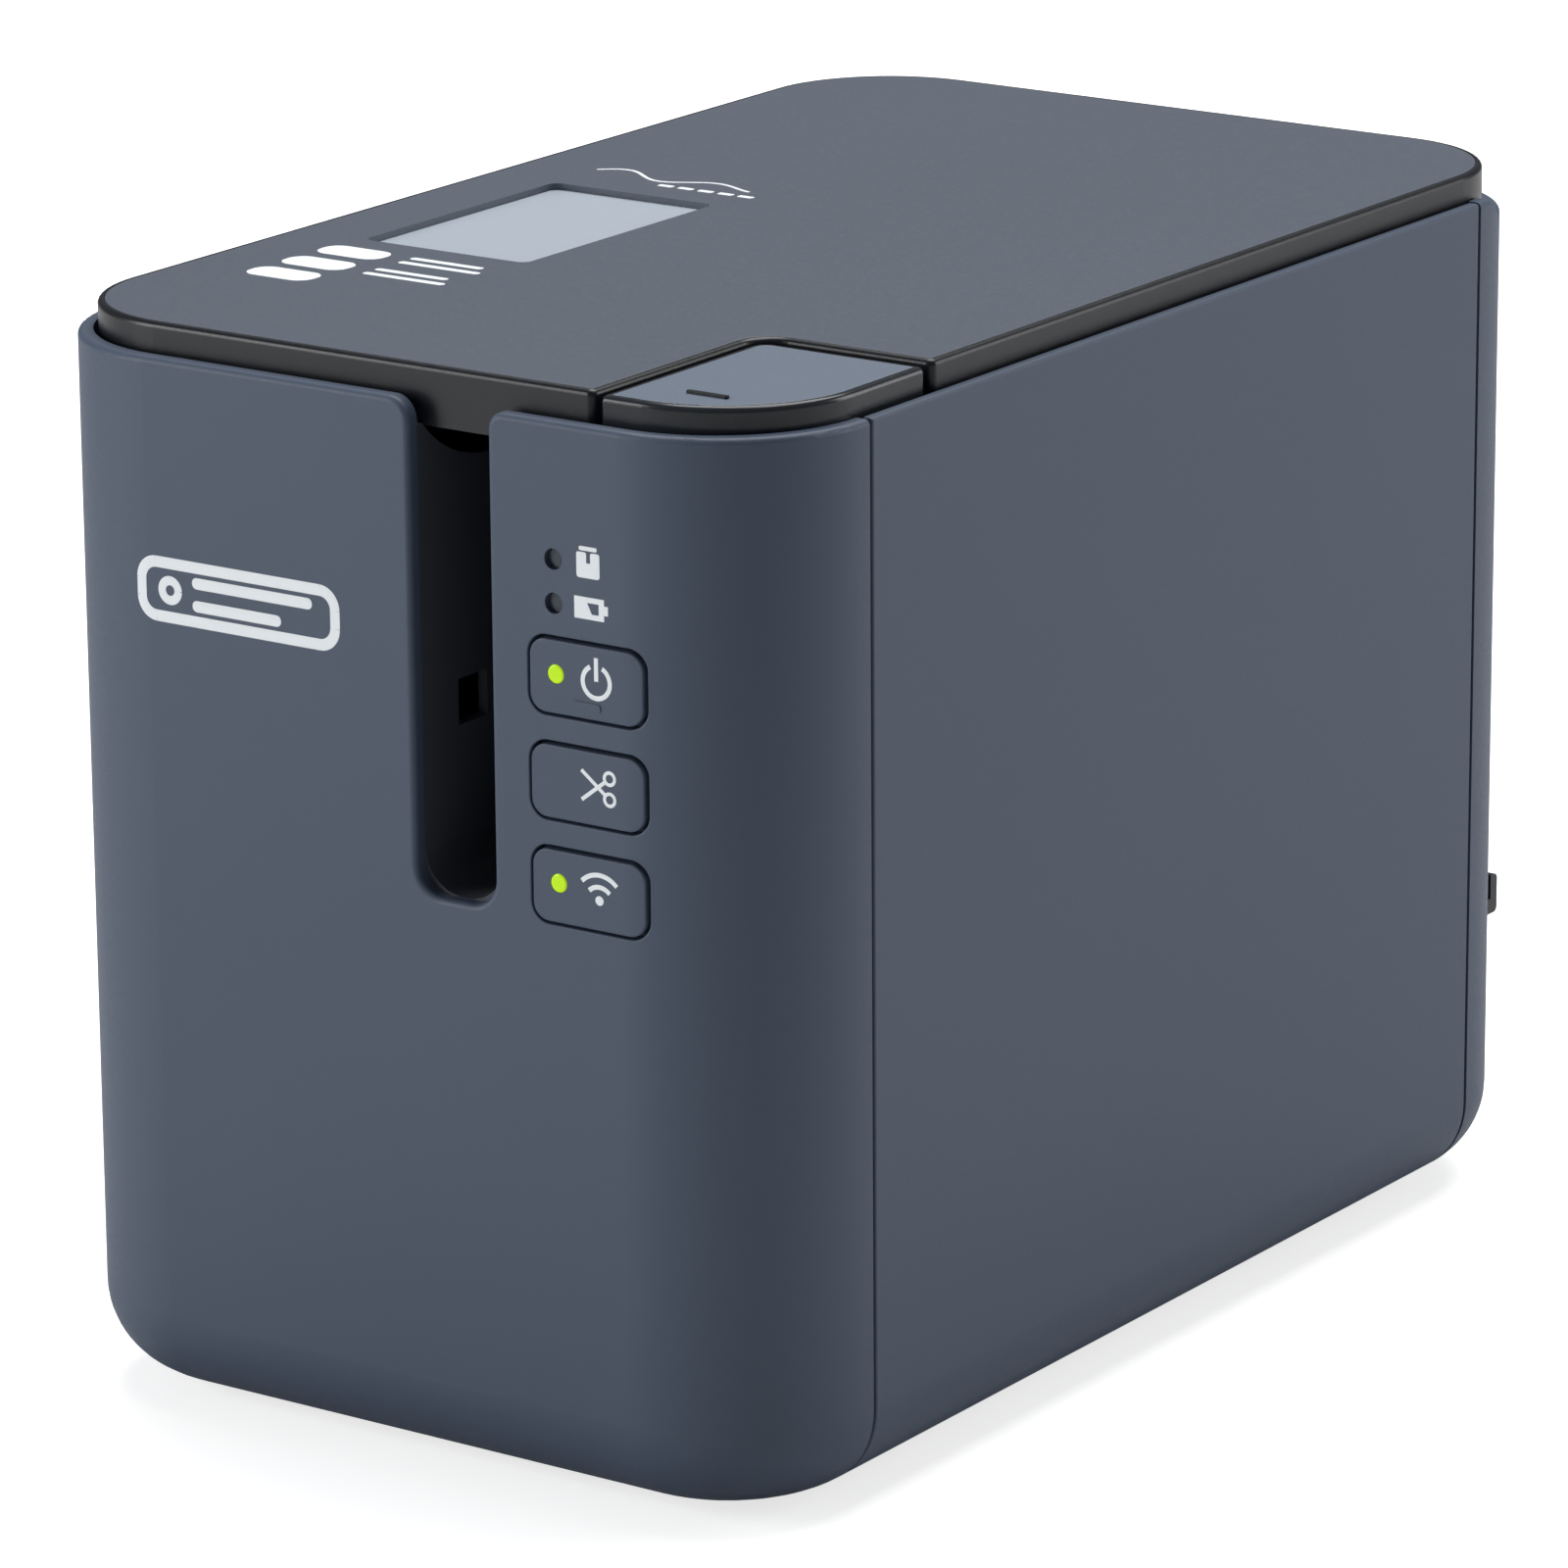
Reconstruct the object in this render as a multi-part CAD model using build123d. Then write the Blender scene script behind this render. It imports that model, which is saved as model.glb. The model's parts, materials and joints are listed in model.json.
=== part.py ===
from build123d import *
import math
import os

# Desktop label maker.  Millimetres, +Z up, front faces -Y, origin on the table under the middle of the body.

# ---------------------------------------------------------------- body shell
HALF_X = 59.0            # half the width
HALF_Y = 96.0            # half the depth
CORNER_R = 22.0          # plan radius of the upright corners
BOTTOM_R = 12.0          # radius where the walls turn under the body
FOOT_H = 1.5             # the body stands this far above the table
RIM_TOP = 142.3          # top of the collar round the top cover
REAR_RIM_TOP = 139.7     # the collar drops behind, which lets the open cover's corners swing past
REAR_RIM_Y = (76.6, 83.2)  # the collar falls between these
WALL = 2.0
FLANGE = 2.0             # flat lip under the walls that the base tray meets
SEAM = 0.5               # gap between neighbouring covers
FRONT_SEAM_Y = -73.4
REAR_SEAM_Y = 74.5
EDGE_R = 0.8             # rounding of the outer rim and of the tape slot
SEAM_R = 0.3
MIN_R = 0.15             # smallest corner radius left after an inset
SIDE_RIM = 1.4           # wall left beside the top cover along the two sides
SIDE_RIM_H = 6.0
FIT = 0.3                # general gap between plastic parts
RUN = 0.05               # radial clearance of a running fit

# ---------------------------------------------------------------- tape slot and its liner
SLOT_X = (5.0, 17.2)
SLOT_FLOOR = 78.4
SLOT_R = 3.8
SLOT_LIP_LEFT = 3.1
SLOT_LIP_RIGHT = 2.1
GUIDE_WALL = 1.4
GUIDE_Y = (-93.9, -58.2)
GUIDE_FLOOR_R = 5.6
SCOOP_CENTRE = (-79.0, 151.0)
SCOOP_R = 18.7
SENSOR_WINDOW = ((-86.5, -80.5), (98.2, 104.2))

# ---------------------------------------------------------------- top cover
COVER_TOP = 146.0
COVER_X = 56.8
COVER_Y = 92.6
COVER_R = 19.0
COVER_LOW = 138.3
COVER_RIM = 0.85         # black edge left visible round the sheet
COVER_EDGE_R = 0.75
SHEET_GAP = 0.03
SHEET_EDGE_R = 0.2
PANEL_T = 1.4
FRAME_T = 1.4
SKIRT_T = 1.8
NOTCH_X = 31.1
NOTCH_Y = -56.7
NOTCH_R = 4.0
NOTCH_TIP_R = 1.0
WINDOW_X = (-44.9, -18.4)
WINDOW_Y = (-39.5, 3.2)
WINDOW_R = 1.5
WINDOW_SINK = 0.9
HINGE_Y = 82.5
HINGE_Z = 142.5
HINGE_XS = (-35.0, 35.0)
HINGE_ARM = 4.0
HINGE_PIN_R = 1.0
HINGE_BOSS = 3.6
HINGE_BOSS_R = 2.0
HINGE_ARM_R = 1.8
HINGE_SLOT = 2.4         # the frame is cut this far each side of the axis above the arms

# ---------------------------------------------------------------- cover key and latch
KEY_X = (32.0, 56.7)
KEY_Y = (-92.5, -58.2)
KEY_TOP = 145.6
KEY_LOW = 140.4
KEY_CAP_T = 1.2
KEY_RIM = 0.9            # black edge left visible round the cap
KEY_EDGE_R = 0.8
KEY_INNER_R = 2.6
KEY_TIP_R = 0.6
KEY_WALL = 1.6
KEY_STEM_X = (44.0, 50.0)
KEY_STEM_Y = (-79.0, -75.0)
KEY_STEM_LOW = 125.3
LEVER_Y = -66.0
LEVER_Z = 124.0
LEVER_R = 2.0
LEVER_X = (20.6, 53.2)
CATCH_X = (23.6, 28.4)
CATCH_Y = (-61.0, -59.4)
SPRING_R = 6.2
SPRING_WIRE = 0.35

# ---------------------------------------------------------------- front keys and lamps
KEY_CENTRE_X = 31.9
FRONT_KEYS = {"power_button": 110.1, "cut_button": 96.6, "wireless_button": 83.1}
KEY_HOLES_TOP = 117.0
FRONT_KEY_W = 17.0
FRONT_KEY_H = 9.4
FRONT_KEY_R = 2.3
FRONT_KEY_GAP = 0.45
FRONT_KEY_PROUD = 0.25
FRONT_KEY_DEPTH = 4.1    # back of the plunger, 0.1 short of the switch when pressed
FRONT_KEY_EDGE_R = 0.24
KEY_HOLE_EDGE_R = 0.2
LAMP_X = 27.4
LAMP_R = 1.25
KEY_LAMPS = {"power_lamp": 110.5, "wireless_lamp": 83.6}
INDICATOR_X = 27.06
INDICATOR_ZS = (125.0, 119.4)
INDICATOR_R = 1.35
BOARD_Y = (-87.0, -85.4)

# ---------------------------------------------------------------- chassis with the cassette bay
DECK_TOP = 138.0
DECK_T = 2.0
DECK_INSET = 2.4
WELL_X = (-48.5, 46.0)
WELL_Y = (-56.0, 44.5)
WELL_FLOOR = 84.0
WELL_T = 1.6
FLOOR_RIGHT = 12.5       # right of this the well is open for the roller holder
POCKET_Y = 76.5          # behind this the cover's rear edge dips when it opens
POCKET_FLOOR = 129.8
PILLARS = ((-38.0, -61.5), (40.0, -60.0), (-38.0, 58.0), (38.0, 58.0))
PILLAR_R = 3.5
PLATE_BOSSES = ((-44.0, -45.0), (-44.0, 22.0), (7.0, 22.0), (3.0, -45.0))

# ---------------------------------------------------------------- cassette
CASE_X = (-46.0, 13.0)
CASE_Y = (-40.0, 42.0)
CASE_Z = (84.4, 126.4)
CASE_SPLIT = 106.0
CASE_WALL = 1.2
CASE_NOTCH_X = -1.0
CASE_NOTCH_Y = (-36.0, -14.0)
TAPE_X = 11.0
TAPE_T = 0.15
TAPE_Z = (87.0, 123.0)
ROLL_CENTRE = (-20.0, 21.0)
ROLL_R = 18.0
SUPPLY_RIBBON = (-36.0, -22.0)

# ---------------------------------------------------------------- print mechanism
PLATE_Z = (72.0, 73.6)
PLATE_X = (-48.0, 12.5)
PLATE_Y = (-49.0, 27.0)
GEAR_Z = (74.5, 79.5)
MODULE = 0.8
PRESSURE_ANGLE = math.radians(20)
BACKLASH = 0.10          # taken off each flank at the pitch circle
DRIVE_TEETH = 36
PLATEN_TEETH = 18
MOTOR_TEETH = 12
RIBBON_TEETH = 24
MOTOR_AT = 215.0         # direction of each gear seen from the drive gear, degrees
RIBBON_AT = 135.0
AXLE_R = 1.5
PLATEN_R = 6.0
FEED_R = 3.6
ROLLER_SHAFT_R = 2.0
PLATEN_XY = (TAPE_X + TAPE_T + PLATEN_R + 0.05, -25.0)
FEED_XY = (TAPE_X + TAPE_T + FEED_R + 0.05, -44.0)
HOLDER_PIVOT = (PLATEN_XY[0], 15.0)
HOLDER_X = (12.8, 28.0)
HOLDER_Y = (-49.0, 20.0)
HOLDER_LOW = (80.4, 82.0)
HOLDER_HIGH = (127.4, 129.4)
MOTOR_R = 15.0

# ---------------------------------------------------------------- cutter
CUT_PIVOT = (16.0, 76.0)  # x, z
CUT_TEETH = 40
CUT_PINION_TEETH = 10
CUT_PINION_AT = -50.0
BRACKET_Y = (-51.5, -50.0)
FIXED_BLADE_Y = (-52.7, -51.5)
MOVING_BLADE_Y = (-53.8, -52.8)
CUT_MOTOR_R = 9.0

# ---------------------------------------------------------------- base, board and sockets
BASE_GAP = 0.3
BASE_TOP = 5.6
FEET = ((-35.5, -72.5), (35.5, -72.5), (-35.5, 72.5), (35.5, 72.5))
FOOT_R = 5.5
FOOT_SEAT_R = 7.0
MAIN_BOARD_X = (-44.0, 44.0)
MAIN_BOARD_Y = (-40.0, 92.0)
MAIN_BOARD_Z = (14.0, 15.6)
BOARD_BOSSES = ((-40.0, -34.0), (40.0, -34.0), (-40.0, 45.0), (40.0, 45.0))
SCREW_R = 1.5
SCREW_HEAD_R = 2.8
SOCKET_Z = MAIN_BOARD_Z[1]
DC_X = -31.9
USB_B_X = -18.5
USB_A_X = -3.5
LAN_X = 13.5
SERIAL_X = 30.4
HOOK_X = (44.0, 50.0)
HOOK_Z = (34.0, 39.7)
HOOK_TIP = 98.2


# ================================================================ helpers
def slab(x, y, z):
    """Box between low and high limits on each axis."""
    size = (x[1] - x[0], y[1] - y[0], z[1] - z[0])
    return Pos((x[0] + x[1]) / 2, (y[0] + y[1]) / 2, (z[0] + z[1]) / 2) * Box(*size)


def post(centre, z, radius):
    """Upright cylinder."""
    return Pos(centre[0], centre[1], (z[0] + z[1]) / 2) * Cylinder(radius, z[1] - z[0])


def rod_x(x, y, z, radius):
    """Cylinder lying along X."""
    return Pos((x[0] + x[1]) / 2, y, z) * Rot(0, 90, 0) * Cylinder(radius, x[1] - x[0])


def rod_y(x, y, z, radius):
    """Cylinder lying along Y."""
    return Pos(x, (y[0] + y[1]) / 2, z) * Rot(90, 0, 0) * Cylinder(radius, y[1] - y[0])


def front_prism(face, y):
    """Extrude a face drawn in X and Z through a range of Y."""
    solid = extrude(face, y[1] - y[0])
    return Pos(0, y[1], 0) * Rot(90, 0, 0) * solid


def plan(inset):
    """Body outline in plan, moved inwards by an inset."""
    return RectangleRounded(2 * (HALF_X - inset), 2 * (HALF_Y - inset), CORNER_R - inset)


def core(inset, top):
    """Solid body form inside an inset, with the rounded turn under its walls."""
    low = FOOT_H + inset
    solid = Pos(0, 0, low) * extrude(plan(inset), top - low)
    lower_edges = solid.edges().group_by(Axis.Z)[0]
    return fillet(lower_edges, BOTTOM_R - inset)


def layer(inset, z):
    """Flat layer of the body outline between two heights."""
    return Pos(0, 0, z[0]) * extrude(plan(inset), z[1] - z[0])


def outline_distance(point):
    """Signed distance of a point from the body outline in plan."""
    over_x = abs(point.X) - (HALF_X - CORNER_R)
    over_y = abs(point.Y) - (HALF_Y - CORNER_R)
    corner = math.hypot(max(over_x, 0), max(over_y, 0))
    return corner + min(max(over_x, over_y), 0) - CORNER_R


def outer_edges(part, wanted, proud=0.0):
    """Edges lying wholly on the walls' outer surface, or proud of it, whose middle point is wanted."""
    found = []
    for edge in part.edges():
        points = [edge @ 0.0, edge @ 0.5, edge @ 1.0]
        if all(abs(outline_distance(p) - proud) < 0.01 for p in points) and wanted(points[1]):
            found.append(edge)
    return found


def rounded_bar(x, y, z, radius):
    """Block with rounded upright edges."""
    face = RectangleRounded(x[1] - x[0], y[1] - y[0], radius)
    return Pos((x[0] + x[1]) / 2, (y[0] + y[1]) / 2, z[0]) * extrude(face, z[1] - z[0])


def involute(angle):
    return math.tan(angle) - angle


def gear_face(teeth, phase):
    """Spur gear outline; one tooth is centred on the phase angle, in degrees."""
    pitch_r = MODULE * teeth / 2
    base_r = pitch_r * math.cos(PRESSURE_ANGLE)
    tip_r = pitch_r + 0.9 * MODULE
    root_r = pitch_r - 1.2 * MODULE
    half_pitch = math.pi / (2 * teeth) - BACKLASH / pitch_r
    start_r = max(base_r, root_r)

    def half_angle(radius):
        slope = math.acos(min(1.0, base_r / radius))
        return half_pitch + involute(PRESSURE_ANGLE) - involute(slope)

    flank = [(root_r, half_angle(start_r))]
    for step in range(1, 4):
        radius = start_r + (tip_r - start_r) * step / 3
        flank.append((radius, half_angle(radius)))
    points = []
    for tooth in range(teeth):
        middle = math.radians(phase) + tooth * 2 * math.pi / teeth
        rising = [(r, middle - a) for r, a in flank]
        falling = [(r, middle + a) for r, a in reversed(flank)]
        points += [(r * math.cos(a), r * math.sin(a)) for r, a in rising + falling]
    return make_face(Polyline(*points, close=True))


def meshed_phase(driver_teeth, follower_teeth, direction):
    """Phase that puts a follower in mesh with a driver whose phase is 0, at a direction in degrees."""
    driver_pitch = 360 / driver_teeth
    fraction = (direction % driver_pitch) / driver_pitch
    return direction + 180 + (fraction + 0.5) * 360 / follower_teeth


def around(centre, distance, direction):
    """Point at a distance and a direction, in degrees, from a centre."""
    angle = math.radians(direction)
    return (centre[0] + distance * math.cos(angle), centre[1] + distance * math.sin(angle))


def gear_distance(teeth_a, teeth_b):
    return MODULE * (teeth_a + teeth_b) / 2


DRIVE_XY = (PLATEN_XY[0] - gear_distance(DRIVE_TEETH, PLATEN_TEETH), PLATEN_XY[1])
MOTOR_XY = around(DRIVE_XY, gear_distance(DRIVE_TEETH, MOTOR_TEETH), MOTOR_AT)
RIBBON_XY = around(DRIVE_XY, gear_distance(DRIVE_TEETH, RIBBON_TEETH), RIBBON_AT)
CUT_PINION_XZ = around(CUT_PIVOT, gear_distance(CUT_TEETH, CUT_PINION_TEETH), CUT_PINION_AT)


# ================================================================ outer covers
def shell():
    """All four covers in one: walls turned under to a narrow lip, open above and below."""
    lip = BOTTOM_R + FLANGE
    return core(0, RIM_TOP) - core(WALL, RIM_TOP + 1) - layer(lip, (0, 10))


def slot_face():
    """Tape slot seen from the front, open upwards between two rounded shoulders."""
    left, right = SLOT_X
    above = RIM_TOP + 10
    points = [(left, SLOT_FLOOR), (right, SLOT_FLOOR), (right, RIM_TOP), (right + 10, RIM_TOP)]
    points += [(right + 10, above), (left - 10, above), (left - 10, RIM_TOP), (left, RIM_TOP)]
    face = make_face(Polyline(*points, close=True))
    low = face.vertices().filter_by(lambda v: abs(v.Y - SLOT_FLOOR) < 0.01)
    face = fillet(low, SLOT_R)
    corner = face.vertices().filter_by(lambda v: abs(v.Y - RIM_TOP) < 0.01 and abs(v.X - left) < 0.01)
    face = fillet(corner, SLOT_LIP_LEFT)
    corner = face.vertices().filter_by(lambda v: abs(v.Y - RIM_TOP) < 0.01 and abs(v.X - right) < 0.01)
    return fillet(corner, SLOT_LIP_RIGHT)


def key_face(centre_z, grow):
    """Rounded outline of a front key, grown on all sides."""
    face = RectangleRounded(FRONT_KEY_W + 2 * grow, FRONT_KEY_H + 2 * grow, FRONT_KEY_R + grow)
    return Pos(KEY_CENTRE_X, centre_z) * face


def front_cover(whole):
    through = (-HALF_Y - 1, -HALF_Y + 8)
    part = whole & slab((-80, 80), (-120, FRONT_SEAM_Y - SEAM / 2), (-10, 200))
    part -= front_prism(slot_face(), through)
    for centre_z in FRONT_KEYS.values():
        part -= front_prism(key_face(centre_z, FRONT_KEY_GAP), through)
    for z in INDICATOR_ZS:
        part -= rod_y(INDICATOR_X, through, z, INDICATOR_R)
    left, right = SLOT_X
    rim = outer_edges(part, lambda p: p.Z > RIM_TOP - 0.01)
    slot = outer_edges(part, lambda p: left - 4 < p.X < right + 3 and SLOT_FLOOR - 1 < p.Z < RIM_TOP - 0.01)
    part = fillet(rim + slot, EDGE_R)
    holes = outer_edges(part, lambda p: p.X > SLOT_X[1] + 4 and SLOT_FLOOR - 4 < p.Z < KEY_HOLES_TOP)
    part = fillet(holes, KEY_HOLE_EDGE_R)
    seam = outer_edges(part, lambda p: abs(p.Y - FRONT_SEAM_Y) < 1 and p.Z > BOTTOM_R + FOOT_H)
    return fillet(seam, SEAM_R)


def side_cover(whole, side):
    """Flat side panel; side is -1 for the left one and 1 for the right one."""
    x = (0, 80) if side > 0 else (-80, 0)
    part = whole & slab(x, (FRONT_SEAM_Y + SEAM / 2, REAR_SEAM_Y - SEAM / 2), (-10, 200))
    thinned = sorted((side * 40, side * (HALF_X - SIDE_RIM)))
    part -= slab(thinned, (-100, 100), (RIM_TOP - SIDE_RIM_H, 200))
    rim = outer_edges(part, lambda p: p.Z > RIM_TOP - 0.01)
    part = fillet(rim, EDGE_R * 0.6)
    upright = outer_edges(part, lambda p: abs(p.Z - 70) < 30 and abs(abs(p.Y) - 74) < 2)
    return fillet(upright, SEAM_R)


def rim_drop():
    """Cutter whose underside falls in a smooth curve from the rim's height to that of its rear part."""
    start, end = (REAR_RIM_Y[0], RIM_TOP), (REAR_RIM_Y[1], REAR_RIM_TOP)
    curve = Spline(start, end, tangents=[(1, 0), (1, 0)])
    above = RIM_TOP + 10
    rest = Polyline(end, (HALF_Y + 10, REAR_RIM_TOP), (HALF_Y + 10, above), (REAR_RIM_Y[0], above), start)
    face = make_face([curve, rest])
    return Pos(-HALF_X - 10, 0, 0) * Rot(0, 0, 90) * Rot(90, 0, 0) * extrude(face, 2 * HALF_X + 20)


def rear_cover(whole):
    """Rear wall with the socket openings and the low part of the rim."""
    part = whole & slab((-80, 80), (REAR_SEAM_Y + SEAM / 2, 120), (-10, 200))
    through = (HALF_Y - 8, HALF_Y + 1)
    part -= rod_y(DC_X, through, SOCKET_Z + 5.5, 4.4)
    for x, half, z in ((USB_B_X, 6.4, 11.6), (USB_A_X, 7.0, 7.6), (LAN_X, 8.4, 14.0), (SERIAL_X, 6.9, 12.0)):
        part -= slab((x - half, x + half), through, (SOCKET_Z - 0.4, SOCKET_Z + z))
    part -= slab((HOOK_X[0] - 0.05, HOOK_X[1] + 0.05), (70, 100), (HOOK_Z[0] - 0.05, HOOK_Z[0] + 2.25))
    part -= rim_drop()
    rim = outer_edges(part, lambda p: p.Z > REAR_RIM_TOP - 0.01)
    return fillet(rim, EDGE_R)


def base_tray():
    """Floor of the body: it fills the opening between the turned-under walls and rests on their lips."""
    plate = layer(BOTTOM_R + FLANGE + BASE_GAP, (FOOT_H, BASE_TOP))
    plate += layer(BOTTOM_R + 0.9, (FOOT_H + WALL + 0.1, BASE_TOP))
    hollow = layer(BOTTOM_R + FLANGE + 3, (FOOT_H + WALL, BASE_TOP + 1))
    plate -= hollow
    for centre in BOARD_BOSSES:
        plate += post(centre, (FOOT_H + WALL, MAIN_BOARD_Z[0]), 3.0)
        plate -= post(centre, (FOOT_H + WALL + 2, MAIN_BOARD_Z[0] + 1), 1.2)
    for centre in FEET:
        plate += post(centre, (FOOT_H, BASE_TOP), FOOT_SEAT_R)
        plate -= post(centre, (FOOT_H - 1, FOOT_H + 0.6), FOOT_R + 0.2)
    plate -= slab((-26, 26), (-14, 14), (FOOT_H - 1, FOOT_H + 1.2))
    plate -= slab((-18, 18), (-6, 6), (0, 10))
    for row in range(6):
        y = 34 + row * 6
        plate -= rounded_bar((-20, 20), (y, y + 2.4), (0, 10), 1.1)
    for centre in PILLARS:
        plate += post(centre, (FOOT_H, BASE_TOP), 4.5)
        plate -= post(centre, (0, 10), SCREW_R + 0.2)
        plate -= post(centre, (0, FOOT_H + 2.0), SCREW_HEAD_R + 0.4)
    return plate


def rubber_feet():
    return Compound([post(c, (0, FOOT_H + 0.6), FOOT_R) for c in FEET])


def screw(centre, head_z, length, head_below):
    """Pan-head screw; the head is below the shank when head_below is true."""
    way = 1 if head_below else -1
    head = sorted((head_z, head_z + way * 1.6))
    shank = sorted((head_z + way * 1.6, head_z + way * (1.6 + length)))
    part = post(centre, head, SCREW_HEAD_R) + post(centre, shank, SCREW_R)
    slot_z = sorted((head_z - way, head_z + way * 0.8))
    part -= Pos(*centre) * slab((-1.8, 1.8), (-0.35, 0.35), slot_z)
    return part - Pos(*centre) * slab((-0.35, 0.35), (-1.8, 1.8), slot_z)


def base_screws():
    return Compound([screw(c, FOOT_H + 0.4, 12, True) for c in PILLARS])


def battery_connector_cover():
    """Panel that closes the connector recess under the body."""
    part = rounded_bar((-25.7, 25.7), (-13.7, 13.7), (FOOT_H, FOOT_H + 1.2), 1.5)
    part += slab((-17.7, 17.7), (-5.7, 5.7), (FOOT_H + 1.2, FOOT_H + 2.0))
    return part - rounded_bar((-6, 6), (8, 11), (FOOT_H - 1, FOOT_H + 0.7), 1.4)


# ================================================================ chassis
def cassette_bay():
    """Black deck under the top cover with the cassette well, the latch bearings and the screw pillars."""
    deck = layer(DECK_INSET, (DECK_TOP - DECK_T, DECK_TOP))
    deck -= slab((-80, 80), (POCKET_Y, 120), (100, 200))
    pocket = layer(DECK_INSET, (POCKET_FLOOR - DECK_T, DECK_TOP))
    pocket &= slab((-80, 80), (POCKET_Y - DECK_T, 120), (100, 200))
    pocket -= slab((-80, 80), (POCKET_Y, 120), (POCKET_FLOOR, 200))
    part = deck + pocket
    outer_x = (WELL_X[0] - WELL_T, WELL_X[1] + WELL_T)
    outer_y = (WELL_Y[0] - WELL_T, WELL_Y[1] + WELL_T)
    part += rounded_bar(outer_x, outer_y, (WELL_FLOOR - WELL_T, DECK_TOP), 4.0)
    part -= rounded_bar(WELL_X, WELL_Y, (WELL_FLOOR, DECK_TOP + 1), 2.5)
    part -= slab((FLOOR_RIGHT, WELL_X[1]), WELL_Y, (70, WELL_FLOOR + 1))
    part -= slab((1.6, WELL_X[1]), (WELL_Y[0], -48.5), (70, WELL_FLOOR + 1))
    part -= slab((SLOT_X[0] - 1.8, SLOT_X[1] + 1.8), (-100, WELL_Y[0] + 1), (70, 200))
    part += latch_bearings()
    part += hinge_arms()
    for centre in PILLARS:
        top = DECK_TOP - DECK_T
        part += post(centre, (BASE_TOP, top), PILLAR_R)
        part -= post(centre, (BASE_TOP - 1, BASE_TOP + 14), SCREW_R)
    for centre in PLATE_BOSSES:
        part += post(centre, (PLATE_Z[1], WELL_FLOOR - WELL_T), 3.0)
        part -= post(centre, (PLATE_Z[1] - 1, WELL_FLOOR - WELL_T), SCREW_R)
    part -= post(RIBBON_XY, (80, 90), 5.0)
    stem_x = (KEY_STEM_X[0] - FIT, KEY_STEM_X[1] + FIT)
    stem_y = (KEY_STEM_Y[0] - FIT, KEY_STEM_Y[1] + FIT)
    part -= rounded_bar(stem_x, stem_y, (DECK_TOP - 5, DECK_TOP + 1), 0.5)
    return part - slab((CATCH_X[0] - 1, CATCH_X[1] + 1), (-69.0, -58.2), (DECK_TOP - 5, DECK_TOP + 1))


def latch_bearings():
    """Two hangers under the deck that carry the latch lever's shaft."""
    part = slab((18.9, 22.8), (LEVER_Y - 3, LEVER_Y + 3), (LEVER_Z - 3, DECK_TOP - DECK_T))
    part += slab((51.2, 54.2), (LEVER_Y - 3, LEVER_Y + 3), (LEVER_Z - 3, DECK_TOP - DECK_T))
    return part - rod_x((LEVER_X[0] - 0.2, LEVER_X[1] + 0.2), LEVER_Y, LEVER_Z, LEVER_R + RUN)


def hinge_arms():
    """Arms that reach back from the deck to the cover's hinge axis."""
    arms = []
    for x in HINGE_XS:
        span = (x - HINGE_ARM / 2, x + HINGE_ARM / 2)
        arm = slab(span, (POCKET_Y - DECK_T, HINGE_Y), (HINGE_Z - HINGE_ARM_R, HINGE_Z))
        arm += slab(span, (POCKET_Y - DECK_T, POCKET_Y), (DECK_TOP - 1, HINGE_Z))
        arm += rod_x(span, HINGE_Y, HINGE_Z, HINGE_ARM_R)
        arms.append(arm - rod_x((x - 10, x + 10), HINGE_Y, HINGE_Z, HINGE_PIN_R + RUN))
    return arms[0] + arms[1]


def tape_exit_guide():
    """Round-bottomed channel from the cutter to the slot, with a scooped top and a sensor window."""
    x = (SLOT_X[0] - GUIDE_WALL, SLOT_X[1] + GUIDE_WALL)
    part = slab(x, GUIDE_Y, (SLOT_FLOOR - 2.4, 141.0))
    width = SLOT_X[1] - SLOT_X[0]
    tall = 90.0
    face = RectangleRounded(width, tall, GUIDE_FLOOR_R)
    face = Pos((SLOT_X[0] + SLOT_X[1]) / 2, SLOT_FLOOR + tall / 2) * face
    part -= front_prism(face, (GUIDE_Y[0] - 1, GUIDE_Y[1] + 1))
    part -= rod_x((0, 30), SCOOP_CENTRE[0], SCOOP_CENTRE[1], SCOOP_R)
    part -= slab((0, 30), (SCOOP_CENTRE[0], 0), (SCOOP_CENTRE[1] - SCOOP_R, 200))
    part -= slab((0, 30), (-100, -92.5), (138.6, 200))
    window_y, window_z = SENSOR_WINDOW
    return part - slab((0, SLOT_X[0] + 1), window_y, window_z)


# ================================================================ top cover
def cover_outline(inset):
    """Top cover outline in plan with the corner left out for the key."""
    face = RectangleRounded(2 * (COVER_X - inset), 2 * (COVER_Y - inset), COVER_R - inset)
    corner = RectangleRounded(80, 80, NOTCH_R + inset)
    notch_x = NOTCH_X - inset
    notch_y = NOTCH_Y + inset
    face -= Pos(notch_x + 40, notch_y - 40) * corner
    tips = ((notch_x, inset - COVER_Y), (COVER_X - inset, notch_y))
    ends = [v for v in face.vertices() if any(math.dist((v.X, v.Y), tip) < 0.01 for tip in tips)]
    return fillet(ends, max(NOTCH_TIP_R - inset, MIN_R))


def window_bar(grow, z):
    x = (WINDOW_X[0] - grow, WINDOW_X[1] + grow)
    y = (WINDOW_Y[0] - grow, WINDOW_Y[1] + grow)
    return rounded_bar(x, y, z, WINDOW_R + grow)


def cover_panel():
    """Slate top sheet let into the cover's frame."""
    part = Pos(0, 0, COVER_TOP - PANEL_T) * extrude(cover_outline(COVER_RIM + SHEET_GAP), PANEL_T)
    part = fillet(part.edges().group_by(Axis.Z)[-1], SHEET_EDGE_R)
    return part - window_bar(0, (COVER_TOP - 5, COVER_TOP + 1))


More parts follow.
